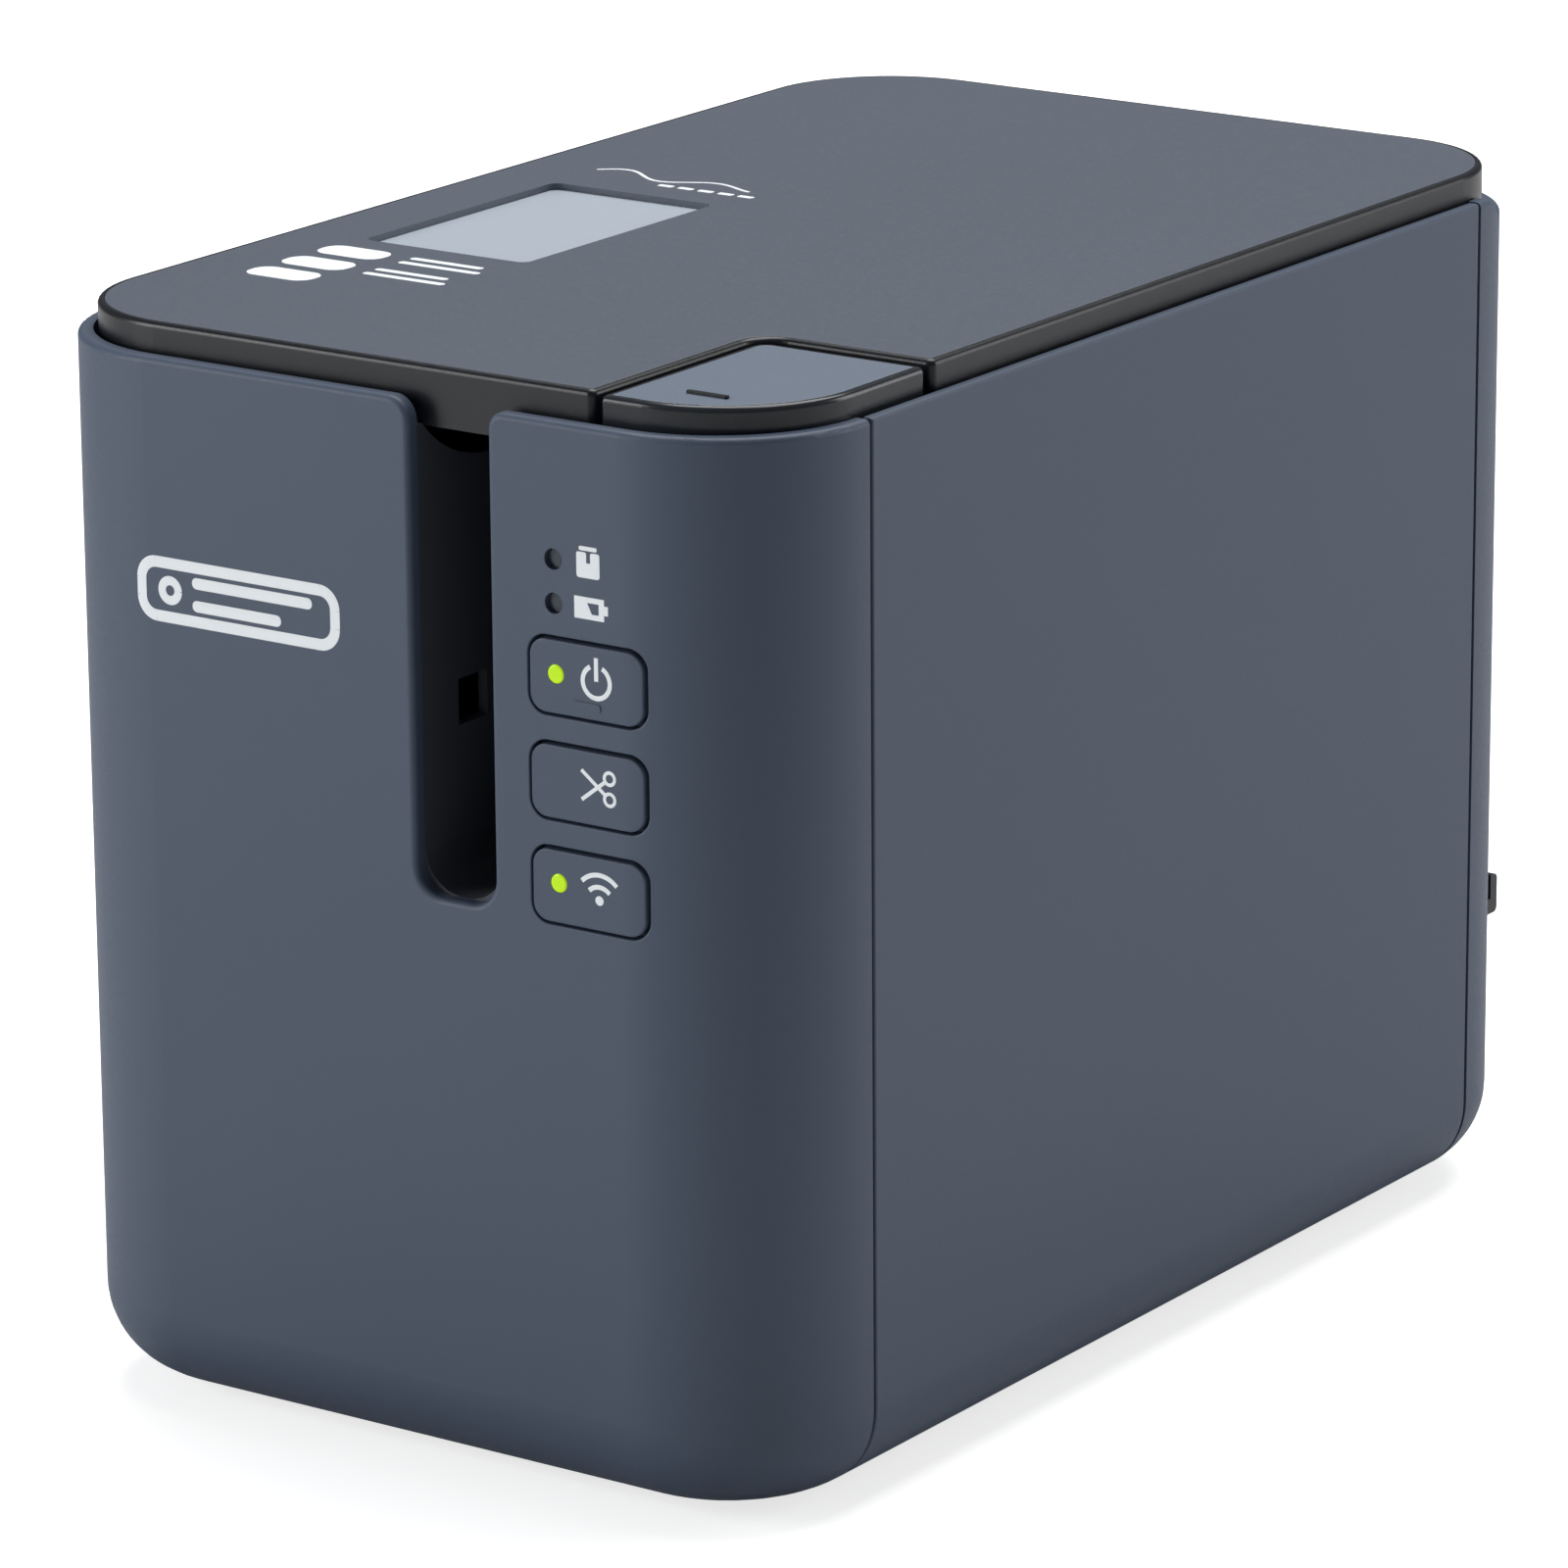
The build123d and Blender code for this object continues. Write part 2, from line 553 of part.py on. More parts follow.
def cover_frame():
    """Black tray that holds the sheet: skirt, rounded top edge, window seat and hinge bosses."""
    top = COVER_TOP - PANEL_T
    under = top - FRAME_T
    part = Pos(0, 0, COVER_LOW) * extrude(cover_outline(0), COVER_TOP - COVER_LOW)
    part = fillet(part.edges().group_by(Axis.Z)[-1], COVER_EDGE_R)
    part -= Pos(0, 0, top) * extrude(cover_outline(COVER_RIM), PANEL_T + 1)
    part -= Pos(0, 0, COVER_LOW - 1) * extrude(cover_outline(SKIRT_T), under - COVER_LOW + 1)
    part -= window_bar(-1.2, (under - 1, top + 1))
    part -= window_bar(0.6, (top - 0.7, top + 1))
    for x in HINGE_XS:
        for side in (-1, 1):
            near = x + side * (HINGE_ARM / 2 + FIT)
            span = sorted((near, near + side * HINGE_BOSS))
            part += slab(span, (HINGE_Y - HINGE_BOSS_R, HINGE_Y + HINGE_BOSS_R), (HINGE_Z, under + 0.2))
            part += rod_x(span, HINGE_Y, HINGE_Z, HINGE_BOSS_R)
        half = HINGE_ARM / 2 + FIT
        part -= slab((x - half, x + half), (HINGE_Y - HINGE_SLOT, HINGE_Y + HINGE_SLOT), (under - 1, top + 1))
        part -= rod_x((x - 20, x + 20), HINGE_Y, HINGE_Z, HINGE_PIN_R)
    return part


def hinge_pins():
    reach = HINGE_ARM / 2 + FIT + HINGE_BOSS
    return Compound([rod_x((x - reach, x + reach), HINGE_Y, HINGE_Z, HINGE_PIN_R) for x in HINGE_XS])


def cover_window():
    top = COVER_TOP - PANEL_T
    part = window_bar(-0.1, (top - 0.7, COVER_TOP - WINDOW_SINK))
    return part + window_bar(0.5, (top - 0.7, top))


def cover_catch():
    """Tab under the cover with the barb that the latch hook holds."""
    part = slab(CATCH_X, CATCH_Y, (127.5, COVER_TOP - PANEL_T - FRAME_T))
    part += slab(CATCH_X, (CATCH_Y[0] - 1.6, CATCH_Y[0]), (129.2, 131.2))
    foot = (COVER_TOP - PANEL_T - FRAME_T - 1.2, COVER_TOP - PANEL_T - FRAME_T)
    return part + slab((CATCH_X[0] - 2, CATCH_X[1] + 0.8), (CATCH_Y[0] - 3, CATCH_Y[1] + 5), foot)


# ================================================================ cover key and latch
def key_outline(inset):
    """Key outline in plan: a large radius over the body's corner and small ones elsewhere."""
    face = Rectangle(KEY_X[1] - KEY_X[0] - 2 * inset, KEY_Y[1] - KEY_Y[0] - 2 * inset)
    face = Pos((KEY_X[0] + KEY_X[1]) / 2, (KEY_Y[0] + KEY_Y[1]) / 2) * face
    corners = face.vertices().sort_by(lambda v: v.Y - v.X)
    face = fillet([corners[0]], COVER_R - 0.4 - inset)
    inner = face.vertices().sort_by(lambda v: v.Y - v.X)[-1]
    face = fillet([inner], KEY_INNER_R - inset)
    tips = [v for v in face.vertices() if is_key_tip(v, inset)]
    return fillet(tips, max(KEY_TIP_R - inset, MIN_R))


def is_key_tip(vertex, inset):
    """True for the key's two nearly sharp corners, where it meets the cover's notch."""
    tips = ((KEY_X[0] + inset, KEY_Y[0] + inset), (KEY_X[1] - inset, KEY_Y[1] - inset))
    return any(math.dist((vertex.X, vertex.Y), tip) < 0.01 for tip in tips)


def open_key():
    """Black body of the cover key: skirt, rounded top edge, seat for the cap and the stem to the latch."""
    top = KEY_TOP - KEY_CAP_T
    part = Pos(0, 0, KEY_LOW) * extrude(key_outline(0), KEY_TOP - KEY_LOW)
    part = fillet(part.edges().group_by(Axis.Z)[-1], KEY_EDGE_R)
    part -= Pos(0, 0, top) * extrude(key_outline(KEY_RIM), KEY_CAP_T + 1)
    part -= Pos(0, 0, KEY_LOW - 1) * extrude(key_outline(KEY_WALL), top - 1.4 - KEY_LOW + 1)
    return part + slab(KEY_STEM_X, KEY_STEM_Y, (KEY_STEM_LOW, top - 1.0))


def open_key_cap():
    """Slate cap let into the key's body."""
    part = Pos(0, 0, KEY_TOP - KEY_CAP_T) * extrude(key_outline(KEY_RIM + SHEET_GAP), KEY_CAP_T)
    return fillet(part.edges().group_by(Axis.Z)[-1], SHEET_EDGE_R)


def key_spring():
    """Coil round the stem between the deck and the key's plate."""
    low = DECK_TOP + SPRING_WIRE
    high = KEY_TOP - KEY_CAP_T - 1.4 - SPRING_WIRE
    path = Helix(pitch=(high - low) / 2.5, height=high - low, radius=SPRING_R)
    section = Plane(origin=path @ 0, z_dir=path % 0) * Circle(SPRING_WIRE)
    centre = ((KEY_STEM_X[0] + KEY_STEM_X[1]) / 2, (KEY_STEM_Y[0] + KEY_STEM_Y[1]) / 2)
    return Pos(centre[0], centre[1], low) * sweep(section, path=path, is_frenet=True)


def latch_lever():
    """Lever pressed down by the key's stem; its hook swings clear of the cover's barb."""
    part = rod_x(LEVER_X, LEVER_Y, LEVER_Z, LEVER_R)
    part += slab(KEY_STEM_X, (LEVER_Y - 12, LEVER_Y), (LEVER_Z - 1, LEVER_Z + 1))
    part += slab(CATCH_X, (LEVER_Y - 1, LEVER_Y + 1), (LEVER_Z, 134.5))
    return part + slab(CATCH_X, (LEVER_Y, CATCH_Y[0] - 1.9), (132.0, 134.5))


# ================================================================ front keys
def front_key(centre_z, lamp_z):
    """Key cap flush with the panel, its retaining flange and the plunger behind it."""
    reach = (-HALF_Y - 2, -HALF_Y + 10)
    cap = front_prism(key_face(centre_z, 0), reach) & (core(-FRONT_KEY_PROUD, 150) - core(WALL + 0.6, 150))
    cap = fillet(outer_edges(cap, lambda p: p.Z > 0, FRONT_KEY_PROUD), FRONT_KEY_EDGE_R)
    flange = front_prism(key_face(centre_z, 1.2), reach) & (core(WALL + 0.2, 150) - core(WALL + 1.2, 150))
    stem = rod_y(KEY_CENTRE_X, (-HALF_Y + 3, -HALF_Y + FRONT_KEY_DEPTH), centre_z, 2.5)
    part = cap + flange + stem
    if lamp_z:
        part -= rod_y(LAMP_X, (-HALF_Y - 2, -HALF_Y + 10), lamp_z, LAMP_R)
    return part


def key_lamp(lamp_z):
    """Clear rod that carries the light through a key."""
    part = rod_y(LAMP_X, (-HALF_Y - FRONT_KEY_PROUD - 0.1, -HALF_Y + 4.2), lamp_z, LAMP_R)
    return fillet(part.edges().group_by(Axis.Y)[0], 0.3)


def indicator_lamps():
    y = (-HALF_Y + 0.7, -90.0)
    return Compound([rod_y(INDICATOR_X, y, z, INDICATOR_R - 0.1) for z in INDICATOR_ZS])


def front_board():
    return slab((20.5, 43.0), BOARD_Y, (75.0, 131.0))


def front_board_parts():
    """Tact switches and lamp chips on the front board."""
    face = BOARD_Y[0]
    parts = []
    for z in FRONT_KEYS.values():
        switch = slab((KEY_CENTRE_X - 3, KEY_CENTRE_X + 3), (face - 3, face), (z - 3, z + 3))
        parts.append(switch + rod_y(KEY_CENTRE_X, (face - 4, face - 3), z, 1.6))
    for z in INDICATOR_ZS:
        parts.append(slab((INDICATOR_X - 1.2, INDICATOR_X + 1.2), (face - 1, face), (z - 0.8, z + 0.8)))
    for z in KEY_LAMPS.values():
        parts.append(slab((LAMP_X - 1.0, LAMP_X + 1.0), (face - 1, face), (z - 0.8, z + 0.8)))
    return Compound(parts)


def front_board_cable():
    """Flat cable from the front board down to the main board."""
    x = (23.0, 35.0)
    y = BOARD_Y[1]
    part = slab(x, (y, y + 0.4), (30.0, 82.0))
    part += slab(x, (y, MAIN_BOARD_Y[0] + 6), (29.6, 30.0))
    return part + slab(x, (MAIN_BOARD_Y[0] + 5.6, MAIN_BOARD_Y[0] + 6), (MAIN_BOARD_Z[1] + 3, 30.0))


# ================================================================ cassette
def case_block(z):
    part = rounded_bar(CASE_X, CASE_Y, z, 3.0)
    notch = rounded_bar((CASE_NOTCH_X, CASE_X[1] + 10), CASE_NOTCH_Y, (z[0] - 1, z[1] + 1), 1.5)
    return part - notch


def case_hollow(z):
    """Space inside the cassette, clear of the head notch."""
    inner_x = (CASE_X[0] + CASE_WALL, CASE_X[1] - CASE_WALL)
    inner_y = (CASE_Y[0] + CASE_WALL, CASE_Y[1] - CASE_WALL)
    hollow = rounded_bar(inner_x, inner_y, z, 2.0)
    guard_x = (CASE_NOTCH_X - CASE_WALL, CASE_X[1] + 1)
    guard_y = (CASE_NOTCH_Y[0] - CASE_WALL, CASE_NOTCH_Y[1] + CASE_WALL)
    return hollow - slab(guard_x, guard_y, (z[0] - 1, z[1] + 1))


def cassette_half(z, hollow_z):
    part = case_block(z) - case_hollow(hollow_z)
    part -= post(RIBBON_XY, (z[0] - 1, CASE_Z[1] - CASE_WALL), 6.0)
    slit_x = (TAPE_X - 0.4, TAPE_X + 0.4)
    return part - slab(slit_x, (CASE_Y[0] - 1, CASE_NOTCH_Y[1] + CASE_WALL + 0.1), TAPE_Z)


def cassette_label():
    return rounded_bar((CASE_X[0] + 2, CASE_NOTCH_X - 3), (CASE_Y[0] + 2, CASE_Y[1] - 2),
                       (CASE_Z[1], CASE_Z[1] + 0.15), 1.5)


def cassette_rolls():
    """Wound label tape and the supply roll of ink ribbon."""
    tape = post(ROLL_CENTRE, TAPE_Z, ROLL_R) - post(ROLL_CENTRE, (0, 200), 8.0)
    ribbon = post(SUPPLY_RIBBON, TAPE_Z, 7.0) - post(SUPPLY_RIBBON, (0, 200), 3.0)
    return Compound([tape, ribbon])


def label_tape():
    """Strip of tape between the cassette, the head and the feed roller."""
    return slab((TAPE_X, TAPE_X + TAPE_T), (-50.0, CASE_NOTCH_Y[1]), TAPE_Z)


# ================================================================ print mechanism
def mechanism_frame():
    """Steel plate with the gear axles, the holder's pivot post and the motor opening."""
    part = slab(PLATE_X, PLATE_Y, PLATE_Z)
    part += slab((PLATE_X[1] - 1, 24.0), (6.0, 24.0), PLATE_Z)
    part += post(DRIVE_XY, (PLATE_Z[0], GEAR_Z[1] + 0.6), AXLE_R)
    part += post(RIBBON_XY, (PLATE_Z[0], GEAR_Z[1] + 2), AXLE_R)
    part += post(HOLDER_PIVOT, (PLATE_Z[0], HOLDER_HIGH[1] + 1.5), ROLLER_SHAFT_R)
    part -= post(MOTOR_XY, (0, 100), 3.0)
    for centre in PLATE_BOSSES:
        part -= post(centre, (0, 100), SCREW_R + 0.2)
    return part


def mechanism_screws():
    return Compound([screw(c, PLATE_Z[0] - 1.6, 8, True) for c in PLATE_BOSSES])


def feed_motor():
    """Can motor hung under the plate; the pinion's shaft turns in its nose."""
    part = post(MOTOR_XY, (48.0, PLATE_Z[0]), MOTOR_R)
    part = chamfer(part.edges().group_by(Axis.Z)[0], 1.2)
    return part - post(MOTOR_XY, (60.0, 80.0), AXLE_R + RUN)


def gear(teeth, centre, phase, bore):
    part = Pos(centre[0], centre[1], GEAR_Z[0]) * extrude(gear_face(teeth, phase), GEAR_Z[1] - GEAR_Z[0])
    return part - post(centre, (0, 200), bore) if bore else part


def motor_pinion():
    phase = meshed_phase(DRIVE_TEETH, MOTOR_TEETH, MOTOR_AT)
    return gear(MOTOR_TEETH, MOTOR_XY, phase, 0) + post(MOTOR_XY, (61.0, GEAR_Z[1] + 0.5), AXLE_R)


def drive_gear():
    return gear(DRIVE_TEETH, DRIVE_XY, 0, AXLE_R + RUN)


def ribbon_spindle():
    """Gear and splined post that winds up the used ribbon."""
    phase = meshed_phase(DRIVE_TEETH, RIBBON_TEETH, RIBBON_AT)
    part = gear(RIBBON_TEETH, RIBBON_XY, phase, 0) + post(RIBBON_XY, (GEAR_Z[1], 118.0), 3.2)
    for rib in range(6):
        turned = Rot(0, 0, rib * 60) * slab((3.0, 4.4), (-0.6, 0.6), (GEAR_Z[1] + 6, 116.0))
        part += Pos(*RIBBON_XY) * turned
    return part - post(RIBBON_XY, (0, GEAR_Z[1] + 2.5), AXLE_R + RUN)


def platen_gear():
    phase = meshed_phase(DRIVE_TEETH, PLATEN_TEETH, 0)
    return gear(PLATEN_TEETH, PLATEN_XY, phase, ROLLER_SHAFT_R)


def platen_shaft():
    return post(PLATEN_XY, (GEAR_Z[0] - 0.5, HOLDER_HIGH[1] + 0.8), ROLLER_SHAFT_R)


def platen_rubber():
    sleeve = post(PLATEN_XY, (TAPE_Z[0] - 1, TAPE_Z[1] + 1), PLATEN_R)
    return sleeve - post(PLATEN_XY, (0, 200), ROLLER_SHAFT_R)


def feed_roller():
    """Pinch roller with collars that grip the tape's edges."""
    part = post(FEED_XY, (HOLDER_LOW[0] - 0.6, HOLDER_HIGH[1] + 0.8), ROLLER_SHAFT_R)
    for z in (TAPE_Z[0] + 2, 99.0, 108.0, TAPE_Z[1] - 5):
        part += post(FEED_XY, (z, z + 3), FEED_R)
    return part


def roller_holder():
    """Swinging bracket that carries the platen and the feed roller."""
    part = rounded_bar(HOLDER_X, HOLDER_Y, HOLDER_LOW, 4.0)
    part += rounded_bar(HOLDER_X, HOLDER_Y, HOLDER_HIGH, 4.0)
    web_x = (HOLDER_X[1] - 2.4, HOLDER_X[1])
    part += slab(web_x, (HOLDER_Y[0] + 5, HOLDER_Y[1] - 5), (HOLDER_LOW[0], HOLDER_HIGH[1]))
    for centre in (PLATEN_XY, FEED_XY, HOLDER_PIVOT):
        part -= post(centre, (0, 200), ROLLER_SHAFT_R + RUN)
    return part


def thermal_head():
    """Ceramic print head that faces the platen across the tape."""
    y = PLATEN_XY[1]
    part = slab((7.0, TAPE_X - 0.5), (y - 5, y + 5), (TAPE_Z[0] - 1, TAPE_Z[1] + 1))
    return part + slab((TAPE_X - 0.5, TAPE_X - 0.1), (y - 0.8, y + 0.8), TAPE_Z)


def head_heat_sink():
    """Finned plate behind the head, standing on the bay floor."""
    y = PLATEN_XY[1]
    part = slab((4.6, 7.0), (y - 8, y + 8), (WELL_FLOOR, TAPE_Z[1] + 1))
    part += slab((0.8, 7.0), (y - 8, y + 8), (WELL_FLOOR, WELL_FLOOR + 1.6))
    for fin in range(5):
        z = 92.0 + fin * 7
        part += slab((1.2, 4.6), (y - 8, y + 8), (z, z + 1.4))
    return part


# ================================================================ cutter
def cutter_bracket():
    """Steel bracket across the tape path with the blade pivot and the motor opening."""
    y = BRACKET_Y
    part = slab((2.0, 40.0), y, (50.0, 84.0)) + slab((2.0, 9.5), y, (84.0, 131.0))
    part -= rod_y(CUT_PINION_XZ[0], (-60, -40), CUT_PINION_XZ[1], 3.0)
    return part + rod_y(CUT_PIVOT[0], (-55.0, y[1]), CUT_PIVOT[1], AXLE_R)


def fixed_blade():
    blade = slab((3.2, 10.6), FIXED_BLADE_Y, (81.0, 130.0))
    return chamfer(blade.edges().filter_by(Axis.Z).sort_by(lambda e: e.center().Y - e.center().X)[:1], 0.7)


def moving_blade():
    """Scissor blade with a toothed sector below its pivot, drawn in X and Z."""
    x, z = CUT_PIVOT
    outline = [(x - 3.2, z + 2), (x - 3.2, z + 8), (x + 11.5, z + 54)]
    outline += [(x + 17.5, z + 54), (x + 6, z + 8), (x + 5, z)]
    blade = front_prism(make_face(Polyline(*outline, close=True)), MOVING_BLADE_Y)
    wheel = Pos(x, z) * gear_face(CUT_TEETH, CUT_PINION_AT)
    wedge = [(x, z)] + [around(CUT_PIVOT, 22.0, a) for a in (-84.0, -62.0, -40.0)]
    sector = wheel & make_face(Polyline(*wedge, close=True))
    part = blade + front_prism(sector, MOVING_BLADE_Y) + rod_y(x, MOVING_BLADE_Y, z, 5.0)
    return part - rod_y(x, (-60, -40), z, AXLE_R + RUN)


def cutter_pinion():
    """Pinion in mesh with the blade's sector, on the cutter motor's shaft."""
    x, z = CUT_PINION_XZ
    phase = CUT_PINION_AT + 180 + 180 / CUT_PINION_TEETH
    wheel = Pos(x, z) * gear_face(CUT_PINION_TEETH, phase)
    return front_prism(wheel, (-54.6, -52.0)) + rod_y(x, (-54.6, -40.0), z, AXLE_R)


def cutter_motor():
    x, z = CUT_PINION_XZ
    part = rod_y(x, (BRACKET_Y[1], -24.0), z, CUT_MOTOR_R)
    return part - rod_y(x, (-60, -39.0), z, AXLE_R + RUN)


# ================================================================ boards and sockets
def main_board():
    part = slab(MAIN_BOARD_X, MAIN_BOARD_Y, MAIN_BOARD_Z)
    for centre in PILLARS:
        part -= post(centre, (0, 30), PILLAR_R + 0.6)
    return part


def board_parts():
    """Chips, capacitors and the cable connector on the main board."""
    top = MAIN_BOARD_Z[1]
    parts = [slab((-14, 6), (-6, 14), (top, top + 2.2)), slab((14, 26), (-2, 12), (top, top + 1.4))]
    parts.append(slab((22.0, 36.0), (-37.0, -31.0), (top, top + 3)))
    for x in (-34, -24):
        parts.append(post((x, 24), (top, top + 12), 4.0))
    return Compound(parts)


def wireless_module():
    top = MAIN_BOARD_Z[1]
    return slab((16, 36), (26, 52), (top, top + 1.0)) + slab((18, 34), (28, 44), (top + 1.0, top + 3.2))


def dc_socket():
    top = SOCKET_Z
    part = slab((DC_X - 5, DC_X + 5), (80.0, 93.6), (top, top + 11))
    part += rod_y(DC_X, (93.6, 95.6), top + 5.5, 4.3)
    part -= rod_y(DC_X, (84.0, 97.0), top + 5.5, 3.1)
    return part + rod_y(DC_X, (83.0, 94.5), top + 5.5, 1.0)


def shell_socket(x, half, height, depth, wall, tongue):
    """Metal socket shell open to the rear, with a tongue inside: tongue is (half width, low, high)."""
    z = (SOCKET_Z, SOCKET_Z + height)
    part = slab((x - half, x + half), (95.6 - depth, 95.6), z)
    part -= slab((x - half + wall, x + half - wall), (98.0 - depth, 97.0), (z[0] + wall, z[1] - wall))
    tongue_half, low, high = tongue
    return part + slab((x - tongue_half, x + tongue_half), (97.0 - depth, 93.6), (z[0] + low, z[0] + high))


def usb_device_socket():
    return shell_socket(USB_B_X, 6.0, 11.0, 16.0, 0.8, (2.8, 3.9, 7.1))


def usb_host_socket():
    return shell_socket(USB_A_X, 6.6, 7.0, 14.0, 0.5, (5.4, 3.6, 5.4))


def jack_socket(x, half, height, inner_half, inner_height):
    """Modular jack: square mouth with a notch above for the plug's latch."""
    z = SOCKET_Z
    part = slab((x - half, x + half), (79.0, 95.6), (z, z + height))
    part -= slab((x - inner_half, x + inner_half), (82.0, 97.0), (z + 1.4, z + 1.4 + inner_height))
    notch = (z + inner_height, z + 1.4 + inner_height + 2.4)
    return part - slab((x - 3.0, x + 3.0), (86.0, 97.0), notch)


def lan_socket():
    return jack_socket(LAN_X, 8.0, 13.4, 5.95, 7.6)


def serial_socket():
    return jack_socket(SERIAL_X, 6.5, 11.4, 4.9, 6.2)


def cord_hook():
    """Hook at the rear corner that holds the adapter lead."""
    low, high = HOOK_Z
    part = slab(HOOK_X, (84.5, HOOK_TIP), (low, low + 2.2))
    part += slab(HOOK_X, (HOOK_TIP - 1.8, HOOK_TIP), (low, high))
    part = fillet(part.edges().filter_by(Axis.X).filter_by(lambda e: e.center().Y > HOOK_TIP - 0.1), 0.8)
    return part + slab((HOOK_X[0] - 2, HOOK_X[1] + 1), (84.5, 86.5), (low - 2, high))


# ================================================================ output
def parts():
    whole = shell()
    lower, middle, upper = CASE_Z[0], CASE_SPLIT, CASE_Z[1]
    made = {
        "front_cover": front_cover(whole),
        "side_cover_left": side_cover(whole, -1),
        "side_cover_right": side_cover(whole, 1),
        "rear_cover": rear_cover(whole),
        "cassette_lower_case": cassette_half((lower, middle), (lower + CASE_WALL, middle + 1)),
        "cassette_upper_case": cassette_half((middle, upper), (middle - 1, upper - CASE_WALL)),
        "power_button": front_key(FRONT_KEYS["power_button"], KEY_LAMPS["power_lamp"]),
        "cut_button": front_key(FRONT_KEYS["cut_button"], None),
        "wireless_button": front_key(FRONT_KEYS["wireless_button"], KEY_LAMPS["wireless_lamp"]),
    }
    for name, z in KEY_LAMPS.items():
        made[name] = key_lamp(z)
    for make in (base_tray, rubber_feet, base_screws, battery_connector_cover, cassette_bay,
                 tape_exit_guide, cover_panel, cover_frame, cover_window, cover_catch, hinge_pins,
                 open_key, open_key_cap, key_spring, latch_lever, indicator_lamps, front_board,
                 front_board_parts, front_board_cable, cassette_label, cassette_rolls, label_tape,
                 mechanism_frame, mechanism_screws, feed_motor, motor_pinion, drive_gear, ribbon_spindle,
                 platen_gear, platen_shaft, platen_rubber, feed_roller, roller_holder, thermal_head,
                 head_heat_sink, cutter_bracket, fixed_blade, moving_blade, cutter_pinion, cutter_motor,
                 main_board, board_parts, wireless_module, dc_socket, usb_device_socket, usb_host_socket,
                 lan_socket, serial_socket, cord_hook):
        made[make.__name__] = make()
    return made


os.makedirs("parts", exist_ok=True)
for node, solid in parts().items():
    export_step(solid, f"parts/{node}.step")
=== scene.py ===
import json
import math

import bpy
import numpy as np
from mathutils import Matrix, Vector


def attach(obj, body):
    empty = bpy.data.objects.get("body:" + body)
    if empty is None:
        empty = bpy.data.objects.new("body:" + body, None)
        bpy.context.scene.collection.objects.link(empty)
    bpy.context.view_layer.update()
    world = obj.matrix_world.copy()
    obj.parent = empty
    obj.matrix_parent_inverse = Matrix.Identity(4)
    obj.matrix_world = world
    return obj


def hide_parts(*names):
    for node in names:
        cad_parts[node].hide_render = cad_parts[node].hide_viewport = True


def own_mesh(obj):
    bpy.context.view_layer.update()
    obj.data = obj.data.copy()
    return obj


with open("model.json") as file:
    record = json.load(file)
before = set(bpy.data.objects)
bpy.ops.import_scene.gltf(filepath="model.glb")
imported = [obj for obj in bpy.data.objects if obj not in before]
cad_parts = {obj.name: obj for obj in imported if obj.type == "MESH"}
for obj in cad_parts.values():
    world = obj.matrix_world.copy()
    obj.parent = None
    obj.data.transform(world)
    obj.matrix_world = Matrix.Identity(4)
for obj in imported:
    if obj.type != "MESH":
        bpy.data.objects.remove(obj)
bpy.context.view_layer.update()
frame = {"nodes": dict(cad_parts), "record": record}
NODES = frame["nodes"]

MM = 0.001

# Body sizes in millimetres, as the model has them
HALF_X = 59.0
HALF_Y = 96.0
CORNER_R = 22.0
KEY_PROUD = 0.25
COVER_TOP = 146.0
KEY_TOP = 145.6
INK = 0.02               # thickness of a printed mark
INK_STEP = 0.0025        # each shape of a mark stands this much over the one before

# Coil spring under the cover key, in millimetres
SPRING_R = 6.2
SPRING_WIRE = 0.35
SPRING_Z = (138.0, 143.0)
SPRING_CENTRE = (47.0, -77.0)
SPRING_TURNS = 2.5
SPRING_SLOT = "zinc_steel"
COIL_STEPS = 160         # rings of points along the wire
WIRE_POINTS = 8          # points round the wire

# Plastic and studio
PLASTIC_IOR = 1.46
WORLD_STRENGTH = 0.13
FLOOR_SIZE = 8.0
FLOOR_GLOW = 0.72
LAMP_GLOW = 0.35
LIGHT_AIM = (0.0, 0.0, 0.08)
LIGHTS = {                # place and size in metres, power in watts
    "ceiling": ((-0.1, 0.5, 1.5), (1.3, 1.3), 26.0),
    "left_box": ((-1.25, -1.3, 0.5), (0.7, 1.2), 19.5),
    "right_box": ((1.25, 1.25, 0.5), (0.7, 1.2), 9.8),
}

# Camera
AZIMUTH = math.radians(34.55)
ELEVATION = math.radians(15.91)
ROLL = math.radians(-0.35)
DISTANCE = 1.11785
FOCUS_Z = 0.0745
LENS_MM = 189.77
AIM_RIGHT = -0.0039220568    # sideways and upward turns of the aim, as tangents
AIM_UP = -0.0050080919


# ---------------------------------------------------------------- camera, floor and lights
def camera():
    """Long-lens view of the front and right sides, with the aim turned a little off the body's middle."""
    back = Vector((math.sin(AZIMUTH) * math.cos(ELEVATION), -math.cos(AZIMUTH) * math.cos(ELEVATION),
                   math.sin(ELEVATION)))
    right = Vector((math.cos(AZIMUTH), math.sin(AZIMUTH), 0.0))
    up = back.cross(right)
    right_rolled = math.cos(ROLL) * right + math.sin(ROLL) * up
    up_rolled = -math.sin(ROLL) * right + math.cos(ROLL) * up
    forward = (-back + AIM_RIGHT * right_rolled + AIM_UP * up_rolled).normalized()
    side = forward.cross(up_rolled).normalized()
    true_up = side.cross(forward)
    data = bpy.data.cameras.new("camera")
    data.lens = LENS_MM
    data.sensor_width = 36.0
    data.clip_end = 20.0
    obj = bpy.data.objects.new("camera", data)
    turn = Matrix((side, true_up, -forward)).transposed().to_4x4()
    place = Vector((0.0, 0.0, FOCUS_Z)) + back * DISTANCE
    obj.matrix_world = Matrix.Translation(place) @ turn
    bpy.context.collection.objects.link(obj)
    bpy.context.scene.camera = obj


